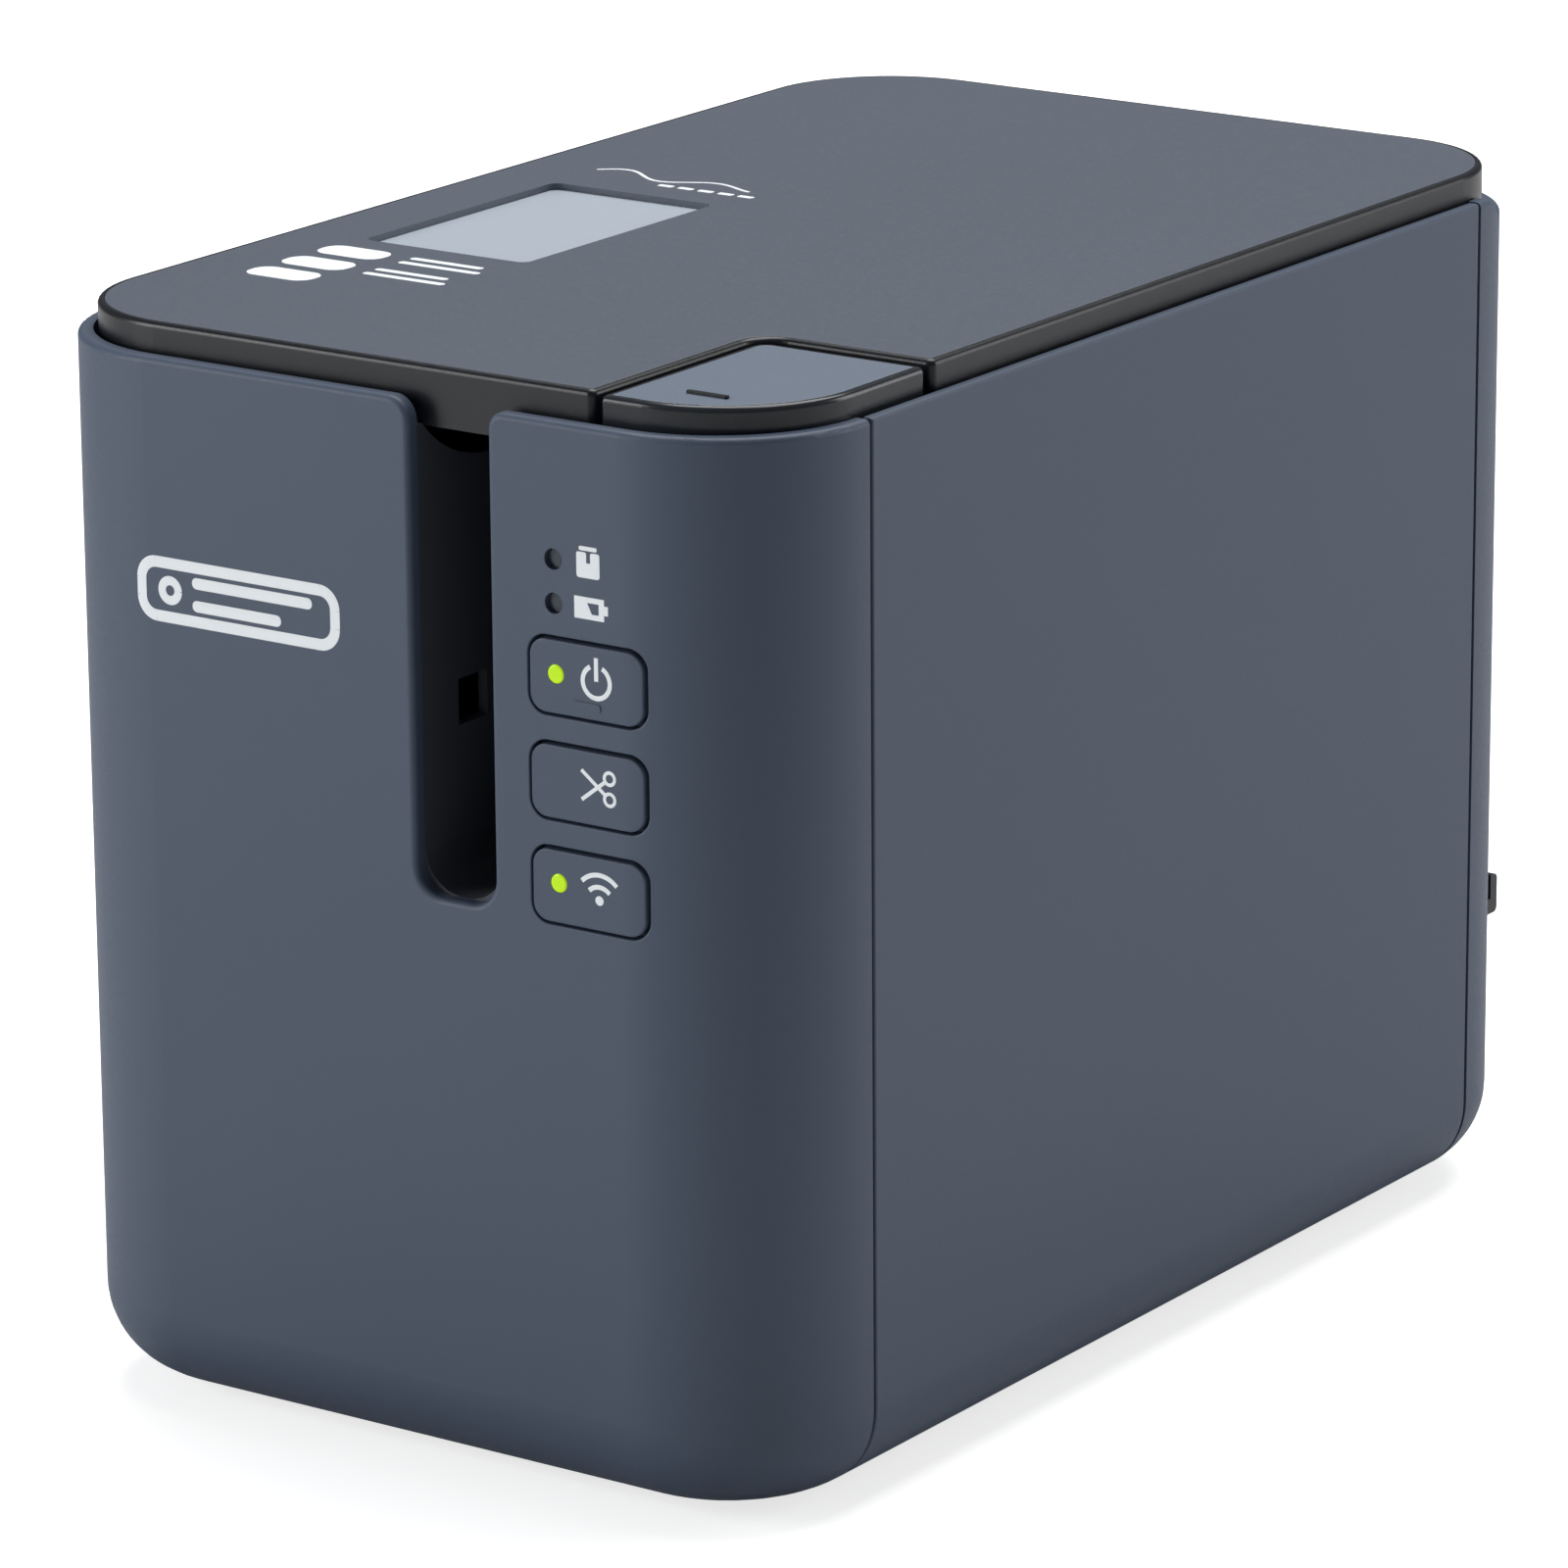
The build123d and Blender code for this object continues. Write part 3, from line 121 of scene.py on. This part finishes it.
def area_light(name, place, size, power):
    """Rectangular white light that faces the middle of the body."""
    data = bpy.data.lights.new(name, "AREA")
    data.shape = "RECTANGLE"
    data.size, data.size_y = size
    data.energy = power
    obj = bpy.data.objects.new(name, data)
    direction = Vector(LIGHT_AIM) - Vector(place)
    obj.location = place
    obj.rotation_euler = direction.to_track_quat("-Z", "Y").to_euler()
    bpy.context.collection.objects.link(obj)


def studio():
    """Soft boxes to the left front and right rear, a ceiling panel, and a white floor with a little glow."""
    world = bpy.data.worlds.new("studio")
    world.use_nodes = True
    background = world.node_tree.nodes["Background"]
    background.inputs["Color"].default_value = (1.0, 1.0, 1.0, 1.0)
    background.inputs["Strength"].default_value = WORLD_STRENGTH
    bpy.context.scene.world = world
    for name, (place, size, power) in LIGHTS.items():
        area_light(name, place, size, power)
    bpy.context.scene.view_settings.view_transform = "Standard"
    bpy.ops.mesh.primitive_grid_add(x_subdivisions=8, y_subdivisions=8, size=FLOOR_SIZE, location=(0, 0, 0))
    floor = bpy.context.object
    floor.name = "floor"
    sweep = material("white_sweep", "#e0e0e0", 0.9, specular=0.1)
    surface = sweep.node_tree.nodes["Principled BSDF"]
    surface.inputs["Emission Color"].default_value = linear("#ffffff")
    seen = add(sweep.node_tree, "ShaderNodeLightPath")
    glow = add(sweep.node_tree, "ShaderNodeMapRange", Value=seen.outputs["Is Camera Ray"], To_Max=FLOOR_GLOW)
    sweep.node_tree.links.new(glow.outputs["Result"], surface.inputs["Emission Strength"])
    floor.data.materials.append(sweep)


# ---------------------------------------------------------------- materials
def linear(colour):
    """sRGB hex colour to linear RGBA."""
    parts = [int(colour[i:i + 2], 16) / 255 for i in (1, 3, 5)]
    return tuple(c / 12.92 if c <= 0.04045 else ((c + 0.055) / 1.055) ** 2.4 for c in parts) + (1.0,)


def add(tree, kind, settings=None, **links):
    """Add a node; settings are its properties, links are its input values or the sockets that feed them."""
    node = tree.nodes.new(kind)
    for key, value in (settings or {}).items():
        setattr(node, key, value)
    for key, value in links.items():
        socket = node.inputs[key.replace("_", " ")]
        if isinstance(value, bpy.types.NodeSocket):
            tree.links.new(value, socket)
        else:
            socket.default_value = value
    return node


def material(name, colour, roughness, specular=0.5, metallic=0.0):
    """Plain start of a material: a Principled surface with its constants on its own sockets."""
    made = bpy.data.materials.new(name)
    made.use_nodes = True
    surface = made.node_tree.nodes["Principled BSDF"]
    surface.inputs["Base Color"].default_value = linear(colour)
    surface.inputs["Roughness"].default_value = roughness
    surface.inputs["Metallic"].default_value = metallic
    surface.inputs["Specular IOR Level"].default_value = specular
    if metallic == 0.0:
        surface.inputs["IOR"].default_value = PLASTIC_IOR
    return made


def grain(made, colour, vary, size_mm, depth_mm, roughness, rough_vary):
    """Moulded grain: soft noise at the grain's size drives bump, roughness and a slight shift of colour."""
    tree = made.node_tree
    surface = tree.nodes["Principled BSDF"]
    place = add(tree, "ShaderNodeTexCoord")
    fine = add(tree, "ShaderNodeTexNoise", Vector=place.outputs["Object"], Scale=1000.0 / size_mm,
               Detail=3.0, Roughness=0.6)
    broad = add(tree, "ShaderNodeTexNoise", Vector=place.outputs["Object"], Scale=14.0, Detail=2.0)
    bump = add(tree, "ShaderNodeBump", Height=fine.outputs["Fac"], Distance=depth_mm * MM, Strength=0.6)
    tree.links.new(bump.outputs["Normal"], surface.inputs["Normal"])
    rough = add(tree, "ShaderNodeMapRange", Value=fine.outputs["Fac"], From_Min=0.3, From_Max=0.7,
                To_Min=roughness - rough_vary, To_Max=roughness + rough_vary)
    tree.links.new(rough.outputs["Result"], surface.inputs["Roughness"])
    base = linear(colour)
    dark = tuple(c * (1 - vary) for c in base[:3]) + (1.0,)
    light = tuple(min(c * (1 + vary), 1.0) for c in base[:3]) + (1.0,)
    shade = add(tree, "ShaderNodeMix", {"data_type": "RGBA"})
    blend = add(tree, "ShaderNodeMath", {"operation": "MULTIPLY_ADD"})
    tree.links.new(fine.outputs["Fac"], blend.inputs[0])
    blend.inputs[1].default_value = 0.5
    tree.links.new(broad.outputs["Fac"], blend.inputs[2])
    tree.links.new(blend.outputs[0], shade.inputs["Factor"])
    shade.inputs[6].default_value = dark
    shade.inputs[7].default_value = light
    tree.links.new(shade.outputs[2], surface.inputs["Base Color"])
    return made


def moulded(name, colour, roughness, size_mm=0.45, depth_mm=0.012, vary=0.03, rough_vary=0.05):
    """Plastic or paper with a moulded grain."""
    plain = material(name, colour, roughness)
    return grain(plain, colour, vary, size_mm, depth_mm, roughness, rough_vary)


def slate_abs():
    """ABS case moulded in a spark-eroded tool: even, matte slate with a soft broad sheen."""
    return moulded("slate_abs", "#485467", 0.5, size_mm=0.5, depth_mm=0.010)


def slate_cover_painted_light():
    """The same ABS with a slightly tighter texture, its colour painted a little paler than the case's as
    painted light: the top catches more of the ceiling light.
    """
    return moulded("slate_cover_painted_light", "#525a67", 0.42, size_mm=0.6, depth_mm=0.014, vary=0.05)


def slate_key_painted_light():
    """The cover key's cap, moulded from a finer tool; its slate is painted paler than the cover's as painted
    light for the light its top catches.
    """
    return moulded("slate_key_painted_light", "#6d7888", 0.38, size_mm=0.5, depth_mm=0.008)


def black_satin_abs():
    """Black ABS from a lightly textured tool: deep, with soft highlights on its edges."""
    return moulded("black_satin_abs", "#14171e", 0.33, size_mm=0.5, depth_mm=0.004)


def guide_abs():
    """Tape channel: charcoal ABS, a little paler than the rest of the black parts."""
    return moulded("guide_abs", "#454951", 0.4, size_mm=0.5, depth_mm=0.004)


def black_polished_abs():
    """Black ABS from a polished tool: narrow bright highlights."""
    return moulded("black_polished_abs", "#262a30", 0.2, size_mm=1.2, depth_mm=0.003, rough_vary=0.03)


def clear_smoked_window():
    """Moulded SAN window over pale paper: light, grey-blue and glossy."""
    return moulded("clear_smoked_window", "#bcc6d2", 0.16, size_mm=2.0, depth_mm=0.002, vary=0.01,
                   rough_vary=0.02)


def lamp_lime():
    """Acrylic light rod with a lit lamp behind it: saturated lime with its own glow."""
    made = material("lamp_lime", "#b4e000", 0.25)
    surface = made.node_tree.nodes["Principled BSDF"]
    surface.inputs["Emission Color"].default_value = linear("#b4e000")
    surface.inputs["Emission Strength"].default_value = LAMP_GLOW
    return made


def lamp_unlit():
    """Acrylic light rod with no light behind it: smoky and glossy."""
    return moulded("lamp_unlit", "#3a424d", 0.2, size_mm=1.0, depth_mm=0.002)


def moulded_rubber():
    """Black rubber feet: fully matte."""
    return moulded("moulded_rubber", "#1a1a1b", 0.8, size_mm=0.4, depth_mm=0.02)


def silicone_roller():
    """Ground silicone rubber: grey-black with a fine lay round the roller."""
    return moulded("silicone_roller", "#2a2b2d", 0.6, size_mm=0.3, depth_mm=0.02)


def brushed(name, colour, roughness, line_mm, along):
    """Metal with fine straight brushing: noise squeezed across one axis."""
    made = material(name, colour, roughness, metallic=1.0)
    tree = made.node_tree
    surface = tree.nodes["Principled BSDF"]
    place = add(tree, "ShaderNodeTexCoord")
    scale = [1000.0 / line_mm] * 3
    scale[along] = 12.0
    stretch = add(tree, "ShaderNodeMapping", Vector=place.outputs["Object"], Scale=scale)
    lines = add(tree, "ShaderNodeTexNoise", Vector=stretch.outputs["Vector"], Scale=1.0, Detail=2.0)
    rough = add(tree, "ShaderNodeMapRange", Value=lines.outputs["Fac"], From_Min=0.3, From_Max=0.7,
                To_Min=roughness - 0.08, To_Max=roughness + 0.08)
    tree.links.new(rough.outputs["Result"], surface.inputs["Roughness"])
    bump = add(tree, "ShaderNodeBump", Height=lines.outputs["Fac"], Distance=0.01 * MM, Strength=0.4)
    tree.links.new(bump.outputs["Normal"], surface.inputs["Normal"])
    return made


MATERIALS = {
    "slate_case": slate_abs(),
    # painted light: the cover's slate is a paler copy of the case's slate
    "slate_cover": slate_cover_painted_light(),
    # painted light: paler slate on the cover key's cap
    "slate_key": slate_key_painted_light(),
    "guide_grey": guide_abs(),
    "black_case": black_satin_abs(),
    "black_gloss": black_polished_abs(),
    "window_plastic": clear_smoked_window(),
    "lamp_green": lamp_lime(),
    "lamp_dark": lamp_unlit(),
    "rubber_black": moulded_rubber(),
    "roller_rubber": silicone_roller(),
    "zinc_steel": brushed("zinc_plated_steel", "#b4b7bb", 0.35, 0.4, 0),
    "blade_steel": brushed("ground_blade_steel", "#c9ccd1", 0.25, 0.25, 2),
    "aluminium_sink": brushed("extruded_aluminium", "#c3c6ca", 0.38, 0.5, 1),
    "gear_nylon": moulded("natural_acetal", "#e2dfd2", 0.42, size_mm=0.8, depth_mm=0.006),
    "board_green": moulded("solder_resist", "#1c6b3c", 0.3, size_mm=1.6, depth_mm=0.01, vary=0.12),
    "chip_black": moulded("epoxy_package", "#1c1c1e", 0.6),
    "cassette_plastic": moulded("grey_polystyrene", "#8b9097", 0.45),
    "label_white": moulded("coated_paper", "#e9ecee", 0.55, size_mm=0.3, depth_mm=0.004, vary=0.01),
    "ceramic_head": moulded("glazed_ceramic", "#d9cdb3", 0.2, size_mm=1.0, depth_mm=0.003),
    "ink_white": moulded("screen_print_ink", "#f4faff", 0.5, size_mm=0.3, depth_mm=0.004, vary=0.015),
}

# Nodes finished differently from the rest of their slot; the cover key cap's paler slate is painted light
SPECIAL_FINISH = {"open_key_cap": "slate_key", "tape_exit_guide": "guide_grey"}


def dress_nodes():
    """Give every carried-over node the finish of its material slot."""
    for entry in frame["record"]["subparts"]:
        node = NODES[entry["node"]]
        finish = MATERIALS[SPECIAL_FINISH.get(entry["node"], entry["material_slot"])]
        if not node.data.materials:
            node.data.materials.append(finish)
        for index in range(len(node.data.materials)):
            node.data.materials[index] = finish


# ---------------------------------------------------------------- printed marks
def front_point(x, z, lift):
    """Point on the front panel, which falls back as a circle of the corner's radius where the corner starts:
    the square root of the radius squared less the square of how far past the start x is.
    """
    over = np.clip(np.abs(x) - (HALF_X - CORNER_R), 0, None)
    depth = (HALF_Y - CORNER_R) + np.sqrt((CORNER_R + lift) ** 2 - over ** 2)
    return np.stack([x, -depth, z], axis=-1)


def key_point(x, z, lift):
    """Point on a front key, which stands a little proud of the panel."""
    return front_point(x, z, lift + KEY_PROUD)


def top_point(x, y, lift):
    """Point on the flat cover."""
    return np.stack([x, y, np.full_like(x, COVER_TOP) + lift], axis=-1)


def key_top_point(x, y, lift):
    """Point on the cover key's cap."""
    return np.stack([x, y, np.full_like(x, KEY_TOP) + lift], axis=-1)


def rear_point(x, z, lift):
    """Point on the flat rear; x runs from left to right for someone behind it."""
    return np.stack([-x, np.full_like(x, HALF_Y) + lift, z], axis=-1)


def thin_solid(grids, place, low, high):
    """Closed thin solids: each grid of flat points is laid on a surface twice, at a low and a high lift,
    and its border is walled. Each shape stands INK_STEP over the last, so upper faces never coincide.
    """
    verts, faces, start = [], [], 0
    for layer, flat in enumerate(grids):
        rows, columns = flat.shape[:2]
        count = rows * columns
        upper = place(flat[..., 0], flat[..., 1], high + layer * INK_STEP).reshape(-1, 3)
        lower = place(flat[..., 0], flat[..., 1], low).reshape(-1, 3)
        index = np.arange(count).reshape(rows, columns)
        corners = [index[:-1, :-1], index[1:, :-1], index[1:, 1:], index[:-1, 1:]]
        sheet_top = np.stack(corners, axis=-1).reshape(-1, 4)
        border = np.concatenate([index[0, :-1], index[:-1, -1], index[-1, :0:-1], index[:0:-1, 0]])
        after = np.roll(border, -1)
        wall = np.stack([border, after, after + count, border + count], axis=-1)
        sheet = np.concatenate([sheet_top, sheet_top[:, ::-1] + count, wall]) + start
        first, along, _, across = upper[sheet_top[0]]
        normal = np.cross(along - first, across - first)
        if np.dot(normal, upper[0] - lower[0]) < 0:
            sheet = sheet[:, ::-1]
        verts.append(np.concatenate([upper, lower]) * MM)
        faces.append(sheet)
        start += 2 * count
    return np.concatenate(verts), np.concatenate(faces)


def piece(name, verts, faces, finish, body):
    """Mesh object with its finish, riding on a body and taking a material slot."""
    mesh = bpy.data.meshes.new(name)
    mesh.from_pydata(verts.tolist(), [], faces.tolist())
    mesh.update()
    obj = bpy.data.objects.new(name, mesh)
    obj.data.materials.append(finish)
    bpy.context.collection.objects.link(obj)
    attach(obj, body)
    return obj


def printed(name, grids, place, body):
    """One printed sign, as a thin solid of ink."""
    verts, faces = thin_solid(grids, place, -INK, INK)
    return piece(name, verts, faces, MATERIALS["ink_white"], body)


def stroke(points, width):
    """Flat ribbon of even width: each point of the path, moved half the width to either side of it."""
    path = np.asarray(points, float)
    step = np.gradient(path, axis=0)
    step /= np.linalg.norm(step, axis=1, keepdims=True)
    across = np.stack([-step[:, 1], step[:, 0]], axis=-1) * width / 2
    return np.stack([path - across, path, path + across], axis=1)


def line(start, end, width, count=6):
    """Straight ribbon between two points."""
    t = np.linspace(0, 1, count)[:, None]
    return stroke(np.asarray(start) * (1 - t) + np.asarray(end) * t, width)


def arc(centre, radius, start, end, width, count=40):
    """Ribbon along a circle's arc, from one angle in degrees to another."""
    angle = np.radians(np.linspace(start, end, count))
    path = np.stack([centre[0] + radius * np.cos(angle), centre[1] + radius * np.sin(angle)], axis=-1)
    return stroke(path, width)


def disc(centre, radius, count=24):
    """Filled disc: chords from side to side, each twice the radius times the sine of its angle."""
    angle = np.linspace(0.02, math.pi - 0.02, count)
    x = centre[0] - radius * np.cos(angle)
    half = radius * np.sin(angle)
    v = np.linspace(-1, 1, 5)
    return np.stack([np.repeat(x[:, None], 5, axis=1), centre[1] + half[:, None] * v], axis=-1)


def block(x, y, radius, count=28):
    """Filled rectangle with rounded corners: upright chords, shortened by a circle near each end."""
    u = 0.5 - 0.5 * np.cos(np.linspace(0, math.pi, count))
    xs = x[0] + (x[1] - x[0]) * u
    edge = np.minimum(xs - x[0], x[1] - xs)
    inside = np.clip(radius - edge, 0, None)
    cut = radius - np.sqrt(np.clip(radius ** 2 - inside ** 2, 1e-6, None))
    v = np.linspace(0, 1, 4)
    low = y[0] + cut
    high = y[1] - cut
    ys = low[:, None] * (1 - v) + high[:, None] * v
    return np.stack([np.repeat(xs[:, None], 4, axis=1), ys], axis=-1)


def quad(a, b, c, d):
    """Filled four-sided shape from its corners: a straight blend along two sides, then between them."""
    u = np.linspace(0, 1, 6)[:, None, None]
    v = np.linspace(0, 1, 4)[None, :, None]
    a, b, c, d = (np.asarray(p, float) for p in (a, b, c, d))
    return (a * (1 - u) + b * u) * (1 - v) + (d * (1 - u) + c * u) * v


def outline_block(x, y, radius, width):
    """Outline of a rounded rectangle: four straight ribbons and four corner arcs."""
    x0, x1 = x
    y0, y1 = y
    sides = [line((x0 + radius, y0), (x1 - radius, y0), width),
             line((x1, y0 + radius), (x1, y1 - radius), width),
             line((x1 - radius, y1), (x0 + radius, y1), width),
             line((x0, y1 - radius), (x0, y0 + radius), width)]
    corners = [((x0 + radius, y0 + radius), 180), ((x1 - radius, y0 + radius), 270),
               ((x1 - radius, y1 - radius), 0), ((x0 + radius, y1 - radius), 90)]
    return sides + [arc(c, radius, a, a + 90, width, 12) for c, a in corners]


def power_sign():
    """Broken ring with an upright bar in the gap."""
    x, z = 33.55, 110.35
    ring = arc((x, z), 2.05, 116, 424, 0.62, 56)
    return [ring, line((x, z + 0.1), (x, z + 3.1), 0.62)]


def scissors_sign():
    """Two crossed blades with a finger ring at the end of each."""
    x, z = 33.6, 96.95
    blades = [line((x - 2.5, z + s * 1.9), (x + 1.1, z - s * 0.85), 0.5) for s in (1, -1)]
    return blades + [arc((x + 1.75, z + s * 1.35), 0.78, 0, 360, 0.45, 30) for s in (-1, 1)]


def wireless_sign():
    """Dot with two arcs over it."""
    x, z = 33.6, 81.9
    arcs = [arc((x, z), r, 45, 135, 0.62, 24) for r in (2.2, 3.75)]
    return arcs + [disc((x, z + 0.45), 0.62)]


def cassette_sign():
    """Tape cassette seen flat: a block with a notch in its top and a lid above it."""
    body = block((30.6, 34.1), (123.3, 125.2), 0.4)
    shoulders = [block((30.6, 32.1), (124.5, 126.55), 0.3), block((32.7, 34.1), (124.5, 126.55), 0.3)]
    return [body, block((31.0, 33.7), (126.75, 127.3), 0.2)] + shoulders


def battery_sign():
    """Battery, part charged: full on its left, with a slanted edge."""
    full = quad((30.2, 118.1), (33.2, 118.1), (31.8, 120.9), (30.2, 120.9))
    above = quad((32.16, 120.2), (34.7, 120.2), (34.7, 120.9), (31.81, 120.9))
    below = quad((33.21, 118.1), (34.7, 118.1), (34.7, 118.8), (32.86, 118.8))
    end = quad((33.9, 118.7), (34.7, 118.7), (34.7, 120.3), (33.9, 120.3))
    return [full, above, below, end, quad((34.6, 118.9), (35.3, 118.9), (35.3, 120.1), (34.6, 120.1))]


def label_sign():
    """Generic label: a bold rounded strip with a punched ring and two bars of different lengths."""
    marks = outline_block((-38.0, -7.0), (108.7, 115.8), 2.4, 1.5)
    marks.append(arc((-33.4, 112.25), 1.3, 0, 360, 1.2, 40))
    marks += [block((-29.8, -10.6), (113.0, 114.5), 0.7), block((-29.8, -15.6), (110.0, 111.5), 0.7)]
    return marks


def tape_marks():
    """Three filled lozenges with pairs of fine bars beside them."""
    marks = []
    for row, y in enumerate((-46.6, -54.2, -61.6)):
        marks.append(block((-46.2, -35.8), (y - 2.6, y + 2.6), 2.2))
        if row < 2:
            marks.append(block((-32.6, -21.0), (y + 0.7, y + 1.9), 0.5))
            marks.append(block((-32.6, -19.6), (y - 1.9, y - 0.7), 0.5))
    return marks


def peel_sign():
    """A curl of tape coming off a strip: one long wave over a row of dashes."""
    t = np.linspace(0, 1, 90)
    wave = np.stack([-45.0 + 26.0 * t, 13.2 + 2.3 * np.sin(t * 3.3 * math.pi) * (1 - 0.55 * t)], axis=-1)
    dashes = [block((-32.0 + i * 3.3, -29.6 + i * 3.3), (9.0, 10.1), 0.3) for i in range(5)]
    return [stroke(wave, 0.55)] + dashes


def port_signs():
    """One small sign above each rear socket; the rear mapping mirrors x."""
    z = 36.0
    power = [arc((31.9, z), 1.5, 0, 360, 0.4, 30), disc((31.9, z), 0.55)]
    usb_device = outline_block((17.1, 19.9), (z - 1.3, z + 1.3), 0.4, 0.4)
    usb_host = outline_block((1.9, 5.1), (z - 0.8, z + 0.8), 0.3, 0.4)
    stations = ((-15.3, -1.5), (-11.7, -1.5), (-13.5, 0.7))
    network = [block((x - 0.7, x + 0.7), (z + h, z + h + 1.2), 0.2) for x, h in stations]
    network += [line((-15.3, z), (-11.7, z), 0.3), line((-13.5, z), (-13.5, z + 0.8), 0.3)]
    serial = [block((x - 0.25, x + 0.25), (z - 1.2, z + 1.2), 0.1) for x in (-32.0, -30.9, -29.8, -28.7)]
    return power + usb_device + usb_host + network + serial


def key_coil():
    """Coil spring under the cover key, at its rest length.

    At angle t the wire's middle is SPRING_R times (cos t, sin t) from the stem's axis, and it rises evenly
    with t over SPRING_TURNS turns. The wire's section is a ring of points SPRING_WIRE out from its middle.
    """
    low, high = SPRING_Z
    turn = np.linspace(0.0, SPRING_TURNS * 2.0 * math.pi, COIL_STEPS)[:, None]
    around = np.linspace(0.0, 2.0 * math.pi, WIRE_POINTS, endpoint=False)[None, :]
    reach = SPRING_R + SPRING_WIRE * np.cos(around)
    middle = np.linspace(low + SPRING_WIRE, high - SPRING_WIRE, COIL_STEPS)[:, None]
    x = SPRING_CENTRE[0] + reach * np.cos(turn)
    y = SPRING_CENTRE[1] + reach * np.sin(turn)
    z = middle + SPRING_WIRE * np.sin(around)
    verts = np.stack([x, y, z], axis=-1).reshape(-1, 3) * MM
    index = np.arange(COIL_STEPS * WIRE_POINTS).reshape(COIL_STEPS, WIRE_POINTS)
    beside = np.roll(index, -1, axis=1)
    side = np.stack([index[:-1], index[1:], beside[1:], beside[:-1]], axis=-1).reshape(-1, 4)
    cap = np.array([[0, 1, 2, 3], [0, 3, 4, 7], [4, 5, 6, 7]])
    faces = np.concatenate([side, cap, cap[:, ::-1] + index[-1, 0]])
    obj = piece("key_coil", verts, faces, MATERIALS[SPRING_SLOT], "case")
    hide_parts("key_spring")
    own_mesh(obj)


def prints():
    """Every printed mark, on the body that it moves with."""
    signs = (("print_label_sign", label_sign, front_point, "case"),
             ("print_cassette_sign", cassette_sign, front_point, "case"),
             ("print_battery_sign", battery_sign, front_point, "case"),
             ("print_port_signs", port_signs, rear_point, "case"),
             ("print_power_sign", power_sign, key_point, "power_key"),
             ("print_scissors_sign", scissors_sign, key_point, "cut_key"),
             ("print_wireless_sign", wireless_sign, key_point, "wireless_key"),
             ("print_tape_marks", tape_marks, top_point, "cover"),
             ("print_peel_sign", peel_sign, top_point, "cover"))
    for name, sign, place, body in signs:
        printed(name, sign(), place, body)


def tactile_marks():
    """Raised bar on the cover key and a low pill on the power key, for finding them by touch."""
    verts, faces = thin_solid([block((40.1, 46.3), (-86.0, -85.2), 0.35)], key_top_point, -0.1, 0.35)
    piece("tactile_bar", verts, faces, MATERIALS["black_case"], "cover_key")
    verts, faces = thin_solid([block((29.8, 34.2), (106.45, 107.55), 0.5)], key_point, -0.1, 0.12)
    piece("tactile_pill", verts, faces, MATERIALS["slate_case"], "power_key")


camera()
studio()
dress_nodes()
key_coil()
prints()
tactile_marks()
